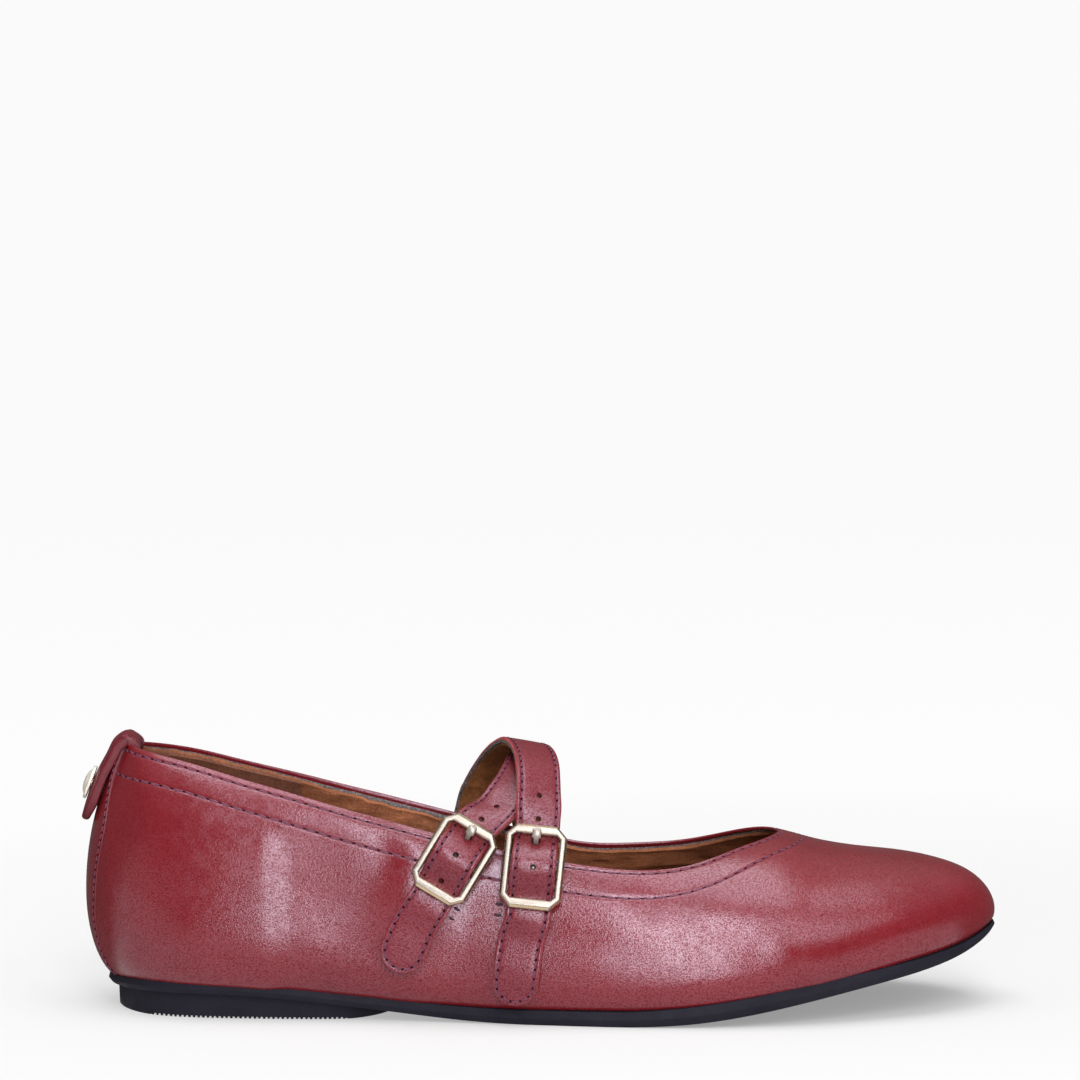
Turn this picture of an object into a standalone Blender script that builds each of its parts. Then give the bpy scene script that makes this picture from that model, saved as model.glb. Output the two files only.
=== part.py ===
"""Women's ballet flat for the right foot, with two crossing buckled straps, standing empty on its sole.

The upper is one hollow leather shell on the surface of a shoe last. All lengths here are millimetres
until place() turns them into metres: x runs from the back of the heel to the toe, y from the outer
side of the foot (negative) to its inner side (positive), and z up from the floor.
"""

import math
from collections import namedtuple

import bmesh
import bpy
import numpy as np

# Driving dimensions.
HEEL_TO_ORIGIN = 122.9  # from the back of the heel to the middle of the shoe's length
GAP = 0.3  # clearance between pieces that touch
WALL = 1.8  # leather and lining of the upper
FLANGE = 6.0  # upper leather turned in under the insole
WELT = 1.6  # how far the outsole stands out past the upper's lower edge
INSOLE_THICKNESS = 2.6
INSOLE_INSET = 2.6  # from the upper's lower edge
LIFT_INSET = 2.7  # the heel lift stands in from the outsole's edge by this much
LIFT_FRONT = 82.5
LIFT_TURN = 60.0  # the lift's sides draw in from here to its rounded front
LIFT_DRAW_IN = 13.0
STRAP_WIDTH = 12.5
STRAP_NECK = 0.25  # each edge draws in by this much inside the buckle
STRAP_THICKNESS = 2.2
BACKSTAY_THICKNESS = 0.9
BACKSTAY_HALF_WIDTH = 10.5
TAB_WIDTH = 15.0
TAB_THICKNESS = 1.6
STUD_RADIUS = 4.7

# The last in sections from heel to toe. lateral and medial are the widest points of each section and
# height is where they lie; rim_* is where the section's rib ends at the collar; roll is how many
# degrees the wall bends over on the way up; tuck_* is how far it draws in below, down to the sole.
Section = namedtuple(
    "Section", "name x lateral medial height rim_x rim_lateral rim_medial roll tuck_lateral tuck_medial"
)
SECTIONS = [
    Section("heel back", -0.6, 0.0, 0.0, 31.0, 9.8, 0.0, 0.0, 30, 6.8, 6.8),
    Section("heel turn", 3.2, -13.5, 13.5, 30.0, 11.4, -7.5, 7.5, 30, 6.4, 6.4),
    Section("heel corner", 14.0, -25.0, 25.0, 25.5, 18.0, -15.0, 15.0, 30, 5.0, 5.0),
    Section("heel", 36.0, -31.0, 30.5, 20.5, 37.0, -21.5, 21.5, 31, 4.0, 4.2),
    Section("ankle", 63.0, -32.5, 31.0, 17.0, 63.0, -26.3, 26.0, 33, 3.6, 4.8),
    Section("waist", 92.0, -34.5, 29.8, 14.0, 92.0, -29.3, 28.0, 35, 3.6, 6.0),
    Section("instep", 119.0, -38.0, 31.5, 12.0, 119.0, -28.8, 27.0, 38, 3.2, 5.0),
    Section("ball rear", 144.0, -41.3, 36.3, 11.5, 144.0, -29.8, 27.0, 44, 2.6, 3.4),
    Section("ball", 167.0, -42.0, 40.8, 13.3, 163.0, -26.5, 26.5, 54, 2.2, 2.6),
    Section("joint", 189.0, -39.0, 42.0, 16.9, 175.5, -18.0, 21.5, 68, 2.0, 2.2),
    Section("vamp", 209.0, -32.5, 39.0, 20.6, 183.0, -10.5, 14.5, 80, 1.8, 1.9),
    Section("toe", 227.0, -23.5, 32.0, 22.6, 186.6, -4.0, 8.5, 85, 1.7, 1.7),
    Section("toe turn", 241.0, -10.5, 20.5, 24.2, 187.9, 0.3, 4.8, 88, 1.6, 1.6),
    Section("toe tip", 248.0, 5.0, 5.0, 25.0, 188.2, 2.5, 2.5, 90, 1.6, 1.6),
]

# Height of the collar's edge along the shoe. It is a little lower along the inner side.
INNER_COLLAR_DROP = 1.1
Collar = namedtuple("Collar", "x height")
COLLAR = [
    Collar(9.8, 72.6), Collar(18, 71.0), Collar(28, 68.9), Collar(41, 65.3), Collar(55, 61.6),
    Collar(67, 58.3), Collar(80, 54.9), Collar(94, 51.2), Collar(112, 46.8), Collar(130, 43.3),
    Collar(140, 42.1), Collar(151, 41.6), Collar(165, 42.5), Collar(176, 44.4), Collar(184, 46.3),
    Collar(189, 47.4),
]

# The last's ridge, over the open instep and down the vamp to the toe, and where it lies across.
Ridge = namedtuple("Ridge", "x height middle")
RIDGE = [
    Ridge(118, 61.0, 0.0), Ridge(134, 57.0, 0.0), Ridge(151, 53.0, 0.0), Ridge(165, 50.3, 0.9),
    Ridge(177, 48.8, 1.8), Ridge(188, 47.3, 2.5), Ridge(198, 44.6, 3.4), Ridge(210, 42.4, 4.1),
    Ridge(222, 41.1, 4.5), Ridge(232, 39.1, 4.7), Ridge(240, 36.1, 4.9), Ridge(245, 32.3, 5.0),
    Ridge(247.4, 28.4, 5.0), Ridge(248, 25.0, 5.0), Ridge(247.4, 21.6, 5.0),
]

# The outsole's underside and thickness. It lies on the floor under the ball of the foot, and the
# lift fills the space under the heel.
Sole = namedtuple("Sole", "x under thick")
SOLE = [
    Sole(4, 6.3, 2.4), Sole(12, 6.7, 3.1), Sole(28, 6.9, 3.3), Sole(45, 6.4, 3.3), Sole(61, 5.1, 3.3),
    Sole(77, 3.4, 3.4), Sole(93, 1.6, 3.7), Sole(107, 0.4, 4.0), Sole(119, 0.0, 4.1),
    Sole(146, 0.0, 4.3), Sole(163, 0.9, 4.8), Sole(180, 3.3, 5.0), Sole(200, 7.2, 4.7), Sole(218, 10.8, 3.9),
    Sole(232, 13.8, 3.4), Sole(242, 17.2, 2.6), Sole(248, 20.4, 2.0),
]

# Buckles: the middle of the frame, its lean back and its tilt in, in degrees.
Buckle = namedtuple("Buckle", "name x y z lean tilt")
FRONT_BUCKLE = Buckle("front", 121.1, -37.0, 43.0, 6.0, 19.0)
REAR_BUCKLE = Buckle("rear", 100.0, -36.1, 44.9, 31.0, 17.0)
FRAME_LENGTH = 22.9
FRAME_WIDTH = 16.6
FRAME_CORNER = 3.0
WINDOW_LENGTH = 17.7
WINDOW_WIDTH = 12.9
WINDOW_CORNER = 1.0
FRAME_THICKNESS = 2.0
PIVOT_DROP = 1.3  # the middle bar lies this far under the frame
PIVOT_RADIUS = 0.7
PRONG_HOLE = 6.6  # from the middle bar up the strap
PRONG_HOLE_RADIUS = 2.0
PRONG_WIDTH = 2.0
PRONG_THICKNESS = 0.9

# Each bend of a strap's middle surface, from the inner side of the foot over to the tail. On a wall the
# place is x, height and distance from the leather; in a buckle, distance along and out from its frame.
Bend = namedtuple("Bend", "name on a b c")
SEAT = GAP + STRAP_THICKNESS / 2
TAIL_SEAT = SEAT + 0.25
UNDER_FRAME = -(FRAME_THICKNESS / 2 + GAP + STRAP_THICKNESS / 2) - 0.1
OVER_PIVOT = 2.1
IN_BUCKLE = [
    Bend("in the buckle", "buckle", a, UNDER_FRAME + (OVER_PIVOT - UNDER_FRAME) * rise, 0)
    for a, rise in (
        (-12, 0), (-9.4, 0), (-6.6, 0.18), (-3.4, 0.7), (0, 1),
        (3.4, 0.7), (6.6, 0.18), (9.4, 0), (13.2, 0),
    )
]
FRONT_STRAP = [
    Bend("sewn end", "medial", 101.5, 31.0, SEAT),
    Bend("inner wall", "medial", 103.0, 40.0, SEAT),
    Bend("inner edge", "medial", 104.8, 46.6, SEAT + 0.4),
    Bend("inner rise", "free", 106.6, 27.8, 53.4),
    Bend("inner bend", "free", 109.5, 23.6, 59.6),
    Bend("inner slope", "free", 112.6, 17.2, 65.0),
    Bend("inner crown", "free", 115.8, 8.5, 69.2),
    Bend("crown", "free", 118.7, -1.0, 71.5),
    Bend("outer crown", "free", 121.1, -10.5, 70.6),
    Bend("outer slope", "free", 122.2, -19.5, 67.2),
    Bend("outer bend", "free", 122.4, -26.4, 61.4),
    *IN_BUCKLE,
    Bend("tail start", "lateral", 118.4, 24.5, TAIL_SEAT),
    Bend("tail", "lateral", 117.0, 16.0, TAIL_SEAT),
    Bend("tail end", "lateral", 115.6, 6.6, TAIL_SEAT),
]
REAR_STRAP = [
    Bend("sewn end", "medial", 124.5, 27.0, SEAT),
    Bend("inner wall", "medial", 123.8, 36.0, SEAT),
    Bend("inner edge", "medial", 123.0, 42.6, SEAT + 0.4),
    Bend("inner rise", "free", 122.8, 26.6, 50.0),
    Bend("inner bend", "free", 123.0, 22.4, 56.0),
    Bend("inner slope", "free", 123.3, 15.8, 61.5),
    Bend("inner crown", "free", 123.3, 8.0, 65.8),
    Bend("crown", "free", 122.2, -0.5, 67.6),
    Bend("outer crown", "free", 120.0, -8.6, 66.5),
    Bend("outer slope", "free", 117.0, -15.8, 63.4),
    Bend("outer bend", "free", 112.9, -22.4, 59.5),
    Bend("outer edge", "free", 108.8, -27.4, 55.8),
    *IN_BUCKLE,
    Bend("tail start", "lateral", 90.0, 27.8, TAIL_SEAT),
    Bend("tail", "lateral", 87.3, 22.0, TAIL_SEAT),
    Bend("tail end", "lateral", 83.8, 14.6, TAIL_SEAT),
]

# Over the instep a strap's outer face looks away from a line along the foot. It also leans forward
# and turns with the strap's slant across the foot.
Facing = namedtuple("Facing", "height forward slant")
FRONT_FACING = Facing(32, 8.0, -0.30)
REAR_FACING = Facing(32, 1.0, 0.30)

# The pull tab's middle surface down its centre: from inside the heel over the collar to the loose tip.
Fold = namedtuple("Fold", "name x z")
TAB = [
    Fold("inner end", 14.0, 69.4), Fold("inner shoulder", 14.3, 71.8), Fold("over the lining", 12.7, 73.5),
    Fold("top", 10.1, 74.0), Fold("outer shoulder", 7.6, 72.8), Fold("outer leaf", 5.8, 69.7),
    Fold("upper outer leaf", 3.5, 65.4), Fold("at the stud", 0.7, 59.0), Fold("tip", -1.8, 50.7),
]
TAB_CURL_INSIDE = 1.2  # how far its long edges wrap forward, inside the collar and behind the heel
TAB_CURL_OUTSIDE = 0.6
STUD_HEIGHT = 60.4

# The leather loops that hold the buckles' middle bars.
ANCHOR_LENGTH = 13.4  # from the bar down to the sewn end
ANCHOR_WIDTH = 14.6
ANCHOR_LOOP_WIDTH = 10.6
ANCHOR_THICKNESS = 0.7

# Base colour, metallic value and roughness.
LEATHER = ((0.245, 0.028, 0.040), 0.0, 0.42)
LINING = ((0.120, 0.050, 0.022), 0.0, 0.70)
RUBBER = ((0.020, 0.021, 0.028), 0.0, 0.62)
GOLD = ((0.820, 0.660, 0.420), 1.0, 0.24)


def place(points):
    """Millimetres from the back of the heel to metres from the model's origin."""
    return (np.asarray(points, float) - (HEEL_TO_ORIGIN, 0, 0)) * 0.001


def spline(knots, values, at, closed=False):
    """Natural cubic spline through values at the knots, or a periodic one."""
    knots = np.asarray(knots, float)
    values = np.asarray(values, float)
    at = np.asarray(at, float)
    count = len(knots)
    span = np.diff(knots)
    slope = (np.diff(values, axis=0).T / span).T
    system = np.zeros((count, count))
    target = np.zeros((count,) + values.shape[1:])
    for i in range(1, count - 1):
        system[i, i - 1 : i + 2] = span[i - 1], 2 * (span[i - 1] + span[i]), span[i]
        target[i] = 6 * (slope[i] - slope[i - 1])
    if closed:
        system[0, [0, 1, count - 2]] = 2 * (span[-1] + span[0]), span[0], span[-1]
        target[0] = 6 * (slope[0] - slope[-1])
        system[-1, [0, -1]] = -1, 1
        at = knots[0] + np.mod(at - knots[0], knots[-1] - knots[0])
    else:
        system[0, 0] = system[-1, -1] = 1
    bend = np.linalg.solve(system, target)
    k = np.clip(np.searchsorted(knots, at, side="right") - 1, 0, count - 2)
    width = span[k]
    b = (at - knots[k]) / width
    if values.ndim > 1:
        b, width = b[..., None], width[..., None]
    a = 1 - b
    curve = (a**3 - a) * bend[k] + (b**3 - b) * bend[k + 1]
    return a * values[k] + b * values[k + 1] + curve * width * width / 6


def ease(t):
    t = np.clip(t, 0, 1)
    return t * t * (3 - 2 * t)


def unit(vectors):
    return vectors / np.linalg.norm(vectors, axis=-1, keepdims=True)


def column(rows, name):
    return np.array([getattr(row, name) for row in rows], float)


class Last:
    """The shoe's surface. u runs round the shoe from the heel's back along the outer side to the toe
    and home along the inner side; v runs from the sole's edge (-1) over the widest line (0) to the
    collar (1)."""

    undercut = math.radians(70)

    def __init__(self):
        outer = [(s.x, s.lateral, s.rim_x, s.rim_lateral, s.tuck_lateral) for s in SECTIONS]
        inner = [(s.x, s.medial, s.rim_x, s.rim_medial, s.tuck_medial) for s in SECTIONS]
        self.rows = np.array(outer + inner[-2:0:-1] + outer[:1])
        steps = np.hypot(*np.diff(self.rows[:, :2], axis=0).T)
        self.knots = np.concatenate([[0], np.cumsum(steps)])
        self.toe = self.knots[len(SECTIONS) - 1]
        self.length = self.knots[-1]
        around = spline(self.knots, self.rows[:, :2], np.linspace(0, self.length, 4001), True)
        tip = np.argmax(around[:, 0])
        self.outer_side = around[: tip + 1]
        self.inner_side = around[tip:][::-1]
        ridge = np.column_stack([column(RIDGE, name) for name in Ridge._fields])
        along = np.concatenate([[0], np.cumsum(np.hypot(*np.diff(ridge[:, :2], axis=0).T))])
        self.ridge = spline(along, ridge, np.linspace(0, along[-2], 2000))
        self.ridge[:, 0] = np.maximum.accumulate(self.ridge[:, 0])

    def station(self, place_along, side):
        """u of a place counted in sections, 0 at the heel's back and 13 at the toe's tip."""
        knots = self.knots[: len(SECTIONS)]
        if side == "medial":
            knots = self.knots[len(SECTIONS) - 1 :][::-1]
        return np.interp(place_along, np.arange(len(SECTIONS)), knots)

    def under(self, x):
        return np.maximum(spline(column(SOLE, "x"), column(SOLE, "under"), np.clip(x, 4, 248)), 0)

    def edge_height(self, x):
        """Height of the upper's lower edge, which is the top of the outsole."""
        return self.under(x) + spline(column(SOLE, "x"), column(SOLE, "thick"), np.clip(x, 4, 248))

    def widest_height(self, x):
        return spline(column(SECTIONS, "x"), column(SECTIONS, "height"), x)

    def vamp_height(self, x, y):
        """The closed top of the last over the toes: half an ellipse across at each x."""
        ridge, middle = (np.interp(x, self.ridge[:, 0], self.ridge[:, i]) for i in (1, 2))
        outer = middle - np.interp(x, *self.outer_side.T)
        inner = np.interp(x, *self.inner_side.T) - middle
        half = np.maximum(np.where(y < middle, outer, inner), 1e-6)
        across = np.clip(np.abs(y - middle) / half, 0, 1)
        base = self.widest_height(x)
        return base + (ridge - base) * np.sqrt(1 - across**2)

    def outline(self, u, inset):
        """Plan points at an inset in millimetres from the upper's lower edge."""
        row = spline(self.knots, self.rows, u, True)
        return row[..., :2] + self.inward(u) * (row[..., 4:5] + inset)

    def inward(self, u):
        step = 0.05
        ahead = spline(self.knots, self.rows[:, :2], u + step, True)
        behind = spline(self.knots, self.rows[:, :2], u - step, True)
        along = unit(ahead - behind)
        return np.stack([-along[..., 1], along[..., 0]], -1)

    def wall(self, u, v, sole_inset=0.0, sole_rise=0.0, widest_inset=0.0):
        """The surface below the widest line turns in to the sole's edge along an ellipse, and above it
        rises to the collar. The insets and the rise move the lower part for the shell's inner face."""
        u, v = np.broadcast_arrays(np.asarray(u, float), np.asarray(v, float))
        row = spline(self.knots, self.rows, u, True)
        widest, rim = row[..., 0:2], row[..., 2:4]
        base = self.widest_height(widest[..., 0])
        bottom = self.outline(u, sole_inset)
        turn = np.clip(-v, 0, 1) * self.undercut
        start = widest + self.inward(u) * widest_inset
        drawn = (1 - np.cos(turn)) / (1 - math.cos(self.undercut))
        low_xy = start + (bottom - start) * drawn[..., None]
        foot = self.edge_height(bottom[..., 0]) + sole_rise
        low_z = base - (base - foot) * np.sin(turn) / math.sin(self.undercut)
        roll = np.radians(spline(column(SECTIONS, "x"), column(SECTIONS, "roll"), widest[..., 0]))
        turn = np.clip(v, 0, 1) * roll
        xy = widest + (rim - widest) * ((1 - np.cos(turn)) / (1 - np.cos(roll)))[..., None]
        collar = spline(column(COLLAR, "x"), column(COLLAR, "height"), rim[..., 0])
        collar = collar - INNER_COLLAR_DROP * ease(rim[..., 1] / 12)
        side_z = base + (collar - base) * np.sin(turn) / np.sin(roll)
        vamp = ease((widest[..., 0] - 122) / 28)
        high_z = side_z + (self.vamp_height(xy[..., 0], xy[..., 1]) - side_z) * vamp
        above = v >= 0
        plan = np.where(above[..., None], xy, low_xy)
        return np.concatenate([plan, np.where(above, high_z, low_z)[..., None]], -1)

    def normal(self, u, v):
        step = 0.01
        along = self.wall(u + 5 * step, v) - self.wall(u - 5 * step, v)
        low = np.where((v < step) & (v >= 0), 0, v - step)
        up = self.wall(u, np.minimum(v + step, 1)) - self.wall(u, np.maximum(low, -1))
        return unit(np.cross(along, up))

    def around(self, count, corner_radius=30.0):
        """Places round the shoe, closer together where its outline turns faster than this radius."""
        u = np.linspace(0, self.length, 3001)
        ahead = self.inward(u)
        turn = np.abs(np.diff(np.unwrap(np.arctan2(ahead[:, 1], ahead[:, 0]))))
        weight = np.concatenate([[0], np.cumsum(np.diff(u) + corner_radius * turn)])
        return np.interp(np.arange(count) * weight[-1] / count, weight, u)

    def find(self, x, z, side):
        """u and v of the point of one side wall at this x and height."""
        lo, hi = (0.0, self.toe) if side == "lateral" else (self.toe, self.length)
        u, v = np.meshgrid(np.linspace(lo, hi, 120), np.linspace(-1, 1, 60))
        grid = self.wall(u, v)
        best = np.argmin((grid[..., 0] - x) ** 2 + (grid[..., 2] - z) ** 2)
        spot = np.array([u.flat[best], v.flat[best]])
        for _ in range(12):
            here = self.wall(*spot)[[0, 2]]
            along = (self.wall(spot[0] + 0.01, spot[1])[[0, 2]] - here) / 0.01
            up = (self.wall(spot[0], spot[1] + 1e-4)[[0, 2]] - here) / 1e-4
            change = np.linalg.lstsq(np.column_stack([along, up]), (x, z) - here, rcond=None)[0]
            spot = spot + change * 0.8
            spot[1] = np.clip(spot[1], -1, 1)
        return spot


LAST = Last()


def material(name, look):
    colour, metallic, roughness = look
    made = bpy.data.materials.new(name)
    made.use_nodes = True
    shader = made.node_tree.nodes["Principled BSDF"]
    shader.inputs["Base Color"].default_value = (*colour, 1)
    shader.inputs["Metallic"].default_value = metallic
    shader.inputs["Roughness"].default_value = roughness
    return made


def loft(sections, closed=False):
    """Points and faces of a solid through rings of points. Each ring pairs its first point with its
    last, its second with the one before, and so on, which closes the two ends."""
    sections = np.asarray(sections, float)
    count, size = sections.shape[:2]
    faces = []
    for i in range(count if closed else count - 1):
        this, following = i * size, (i + 1) % count * size
        for j in range(size):
            k = (j + 1) % size
            faces.append((this + j, this + k, following + k, following + j))
    if not closed:
        for start in (0, (count - 1) * size):
            for j in range(size // 2 - 1):
                faces.append((start + j, start + j + 1, start + size - 2 - j, start + size - 1 - j))
    return sections.reshape(-1, 3), faces


def solid(name, shape, look):
    points, faces = shape
    mesh = bpy.data.meshes.new(name)
    mesh.from_pydata(place(points).tolist(), [], faces)
    form = bmesh.new()
    form.from_mesh(mesh)
    bmesh.ops.recalc_face_normals(form, faces=form.faces)
    form.to_mesh(mesh)
    form.free()
    mesh.shade_smooth()
    mesh.set_sharp_from_angle(angle=math.radians(35))
    mesh.materials.append(material(name, look))
    made = bpy.data.objects.new(name, mesh)
    bpy.context.scene.collection.objects.link(made)
    return made


def helper(name, shape, look):
    """A solid that only shapes another one."""
    made = solid(name, shape, look)
    made.hide_render = True
    made.display_type = "WIRE"
    return made


def combine(made, other, operation):
    change = made.modifiers.new(other.name, "BOOLEAN")
    change.operation = operation
    change.solver = "EXACT"
    change.object = other


def upper():
    """The hollow shell, in slices across its wall: out from the sole's edge, up to the collar, down
    the inside and in along the flange."""
    around = LAST.around(116)[:, None]
    outside = np.array([-1, -0.72, -0.45, -0.2, 0, 0.12, 0.24, 0.37, 0.51, 0.66, 0.83, 1])
    inside = np.array([1, 0.78, 0.56, 0.36, 0.18, 0])
    lower = np.array([-0.3, -0.6, -1])
    outer = LAST.wall(around, outside)
    inner = LAST.wall(around, inside) - LAST.normal(around, inside) * WALL
    corner = LAST.wall(around, lower, sole_inset=2.0, sole_rise=WALL, widest_inset=WALL)
    end = LAST.outline(around, FLANGE)
    height = LAST.edge_height(end[..., 0])
    flange = [np.concatenate([end, (height + rise)[..., None]], -1) for rise in (WALL, 0)]
    return loft(np.concatenate([outer, inner, corner, *flange], axis=1), closed=True)


def plate(rows, levels):
    """A flat piece through rows across the foot. A level is an inset and a height worked out from x."""
    rings = []
    for side in ("lateral", "medial"):
        u = LAST.station(rows, side)
        edge = []
        for inset, height in levels if side == "lateral" else levels[::-1]:
            plan = LAST.outline(u, np.reshape(inset, (-1, 1)))
            edge.append(np.column_stack([plan, height(plan[:, 0])]))
        rings.append(np.stack(edge, axis=1))
    return loft(np.concatenate(rings, axis=1))


def rows_between(first, last, count):
    """Rows of a plate, closest together where the outline turns fastest."""
    u = np.linspace(LAST.station(first, "lateral"), LAST.station(last, "lateral"), count)
    return np.interp(u, LAST.knots[: len(SECTIONS)], np.arange(len(SECTIONS)))


def outsole():
    def top(x):
        return LAST.edge_height(x) - GAP

    def middle(x):
        return LAST.under(x) + 0.45 * (top(x) - LAST.under(x))

    levels = [(-WELT + 0.3, top), (-WELT, middle), (-WELT + 0.9, LAST.under)]
    return plate(rows_between(0.07, 12.93, 64), levels)


def heel_lift():
    def top(x):
        return LAST.under(x) - GAP

    def bottom(x):
        rise = 1 - np.sqrt(1 - np.clip((x - 70) / (LIFT_FRONT - 69), 0, 1) ** 2)
        return rise * (top(x) - 0.6)

    front = np.interp(LIFT_FRONT, column(SECTIONS, "x"), np.arange(len(SECTIONS)))
    rows = rows_between(0.09, front, 40)
    x = np.interp(rows, np.arange(len(SECTIONS)), column(SECTIONS, "x"))
    turn = np.clip((x - LIFT_TURN) / (LIFT_FRONT - LIFT_TURN), 0, 1)
    inset = LIFT_INSET - WELT + LIFT_DRAW_IN * (1 - np.sqrt(1 - turn**2))
    return plate(rows, [(inset, top), (inset + 0.4, bottom)])


def insole():
    def bottom(x):
        return LAST.edge_height(x) + WALL + GAP

    def top(x):
        return bottom(x) + INSOLE_THICKNESS

    levels = [(INSOLE_INSET - 0.6, top), (INSOLE_INSET, bottom)]
    return plate(rows_between(0.12, 12.88, 52), levels)


def backstay():
    around = np.linspace(-BACKSTAY_HALF_WIDTH, BACKSTAY_HALF_WIDTH, 9)[None, :]
    up = np.linspace(-0.84, 0.95, 16)[:, None]
    surface = LAST.wall(around, up)
    outward = LAST.normal(around, up)
    inner = surface + outward * GAP
    outer = surface + outward * (GAP + BACKSTAY_THICKNESS)
    return loft(np.concatenate([outer, inner[:, ::-1]], axis=1))


def ribbon(path, outward, half_width, thickness, columns=2, curl=0.0):
    """A flat strip along its middle surface. curl carries its long edges forward."""
    along = unit(np.gradient(path, axis=0))
    outward = unit(outward - along * np.sum(outward * along, axis=1, keepdims=True))
    across = np.cross(along, outward)
    share = np.linspace(-1, 1, columns)[None, :, None]
    reach = share * np.reshape(half_width, (-1, 1, 1))
    middle = path[:, None] + across[:, None] * reach
    forward = np.reshape(curl, (-1, 1, 1)) * (reach / np.max(half_width)) ** 2
    middle = middle + forward * np.array([1.0, 0, 0])
    rise = outward[:, None] * thickness / 2
    return np.concatenate([middle + rise, (middle - rise)[:, ::-1]], axis=1)


def rounded_tail(length, at, half_width):
    """Half widths of a strip that ends in a half circle."""
    cut = np.clip(half_width - (length - at), 0, half_width)
    return np.sqrt(np.maximum(half_width**2 - cut**2, 0.16))


def tail_stations(length, half_width, spacing):
    """Places along a strip, closer together round its tail."""
    straight = np.linspace(0, length - half_width, max(2, round((length - half_width) / spacing)))
    turn = np.linspace(0, math.pi / 2, 7)[1:]
    return np.concatenate([straight, length - half_width + half_width * np.sin(turn)])


def buckle_axes(buckle):
    """The frame's own axes: down the strap, across it and out from the foot."""
    tilt = math.radians(buckle.tilt)
    lean = math.radians(buckle.lean)
    out = np.array([0, -math.cos(tilt), math.sin(tilt)])
    straight_down = np.array([0, -math.sin(tilt), -math.cos(tilt)])
    down = straight_down * math.cos(lean) + np.array([-1.0, 0, 0]) * math.sin(lean)
    return down, np.cross(down, out), out


def in_buckle(buckle, local):
    """Points given as (down, across, out) in a buckle's frame."""
    middle = np.array([buckle.x, buckle.y, buckle.z])
    return middle + np.asarray(local, float) @ np.array(buckle_axes(buckle))


def bend_at(bend, buckle, facing):
    """Where a bend lies and which way its outer face looks."""
    if bend.on == "buckle":
        return in_buckle(buckle, (bend.a, 0, bend.b)), buckle_axes(buckle)[2]
    if bend.on == "free":
        outward = (facing.forward + facing.slant * bend.b, bend.b, bend.c - facing.height)
        return np.array([bend.a, bend.b, bend.c]), unit(np.array(outward))
    u, v = LAST.find(bend.a, bend.b, bend.on)
    out = LAST.normal(u, v)
    return LAST.wall(u, v) + out * bend.c, out


def strip_route(spots, outward):
    """Finely spaced points through the spots, with their distances along and outward directions."""
    spots, outward = np.array(spots), np.array(outward)
    along = np.concatenate([[0], np.cumsum(np.linalg.norm(np.diff(spots, axis=0), axis=1))])
    fine = np.linspace(0, along[-1], 1200)
    path = spline(along, spots, fine)
    length = np.concatenate([[0], np.cumsum(np.linalg.norm(np.diff(path, axis=0), axis=1))])
    return length, path, spline(along, outward, fine)


def resample(at, length, *tracks):
    return [np.column_stack([np.interp(at, length, track[:, i]) for i in range(3)]) for track in tracks]


def strap(bends, buckle, facing):
    length, path, outward = strip_route(*zip(*(bend_at(bend, buckle, facing) for bend in bends)))
    at = tail_stations(length[-1], STRAP_WIDTH / 2, 2.6)
    path, outward = resample(at, length, path, outward)
    half = rounded_tail(at[-1], at, STRAP_WIDTH / 2)
    reach = np.linalg.norm(path - in_buckle(buckle, (0, 0, 0)), axis=1)
    half = half - STRAP_NECK * (1 - ease((reach - 13) / 6))
    return loft(ribbon(path, outward, half, STRAP_THICKNESS))


def round_bar(start, end, radius, sides=12):
    """A round bar between two points."""
    start, end = np.array(start, float), np.array(end, float)
    axis = unit(end - start)
    side = unit(np.cross(axis, (0.3, 0.5, 0.8)))
    other = np.cross(axis, side)
    turn = (np.arange(sides) + 0.5) * 2 * math.pi / sides
    ring = radius * (np.cos(turn)[:, None] * side + np.sin(turn)[:, None] * other)
    return loft([start + ring, end + ring])


def buckle_frame(buckle):
    """An eight-sided ring of flat bar, its outer edge bevelled. The profile gives each point's share
    of the way from the window out to the frame's edge, and its rise."""
    top = FRAME_THICKNESS / 2
    profile = [(0, -top), (1, -top), (1, top - 0.9), (0.7, top), (0.15, top), (0, top - 0.3)]
    rings = []
    for corner in ("++", "+-", "--", "-+"):
        ends = ("long", "short") if corner in ("+-", "-+") else ("short", "long")
        for end in ends:
            ring = []
            for share, rise in profile:
                cut = WINDOW_CORNER + share * (FRAME_CORNER - WINDOW_CORNER)
                half_length = (WINDOW_LENGTH + share * (FRAME_LENGTH - WINDOW_LENGTH)) / 2
                half_width = (WINDOW_WIDTH + share * (FRAME_WIDTH - WINDOW_WIDTH)) / 2
                down = half_length - (cut if end == "short" else 0)
                across = half_width - (cut if end == "long" else 0)
                down *= 1 if corner[0] == "+" else -1
                across *= 1 if corner[1] == "+" else -1
                ring.append((down, across, rise))
            rings.append(in_buckle(buckle, ring))
    return loft(rings, closed=True)


def pivot_bar(buckle):
    """The middle bar, let into the undersides of the frame's two sides."""
    reach = (FRAME_WIDTH + WINDOW_WIDTH) / 4
    ends = [in_buckle(buckle, (0, side * reach, -PIVOT_DROP)) for side in (-1, 1)]
    return round_bar(*ends, PIVOT_RADIUS)


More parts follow.
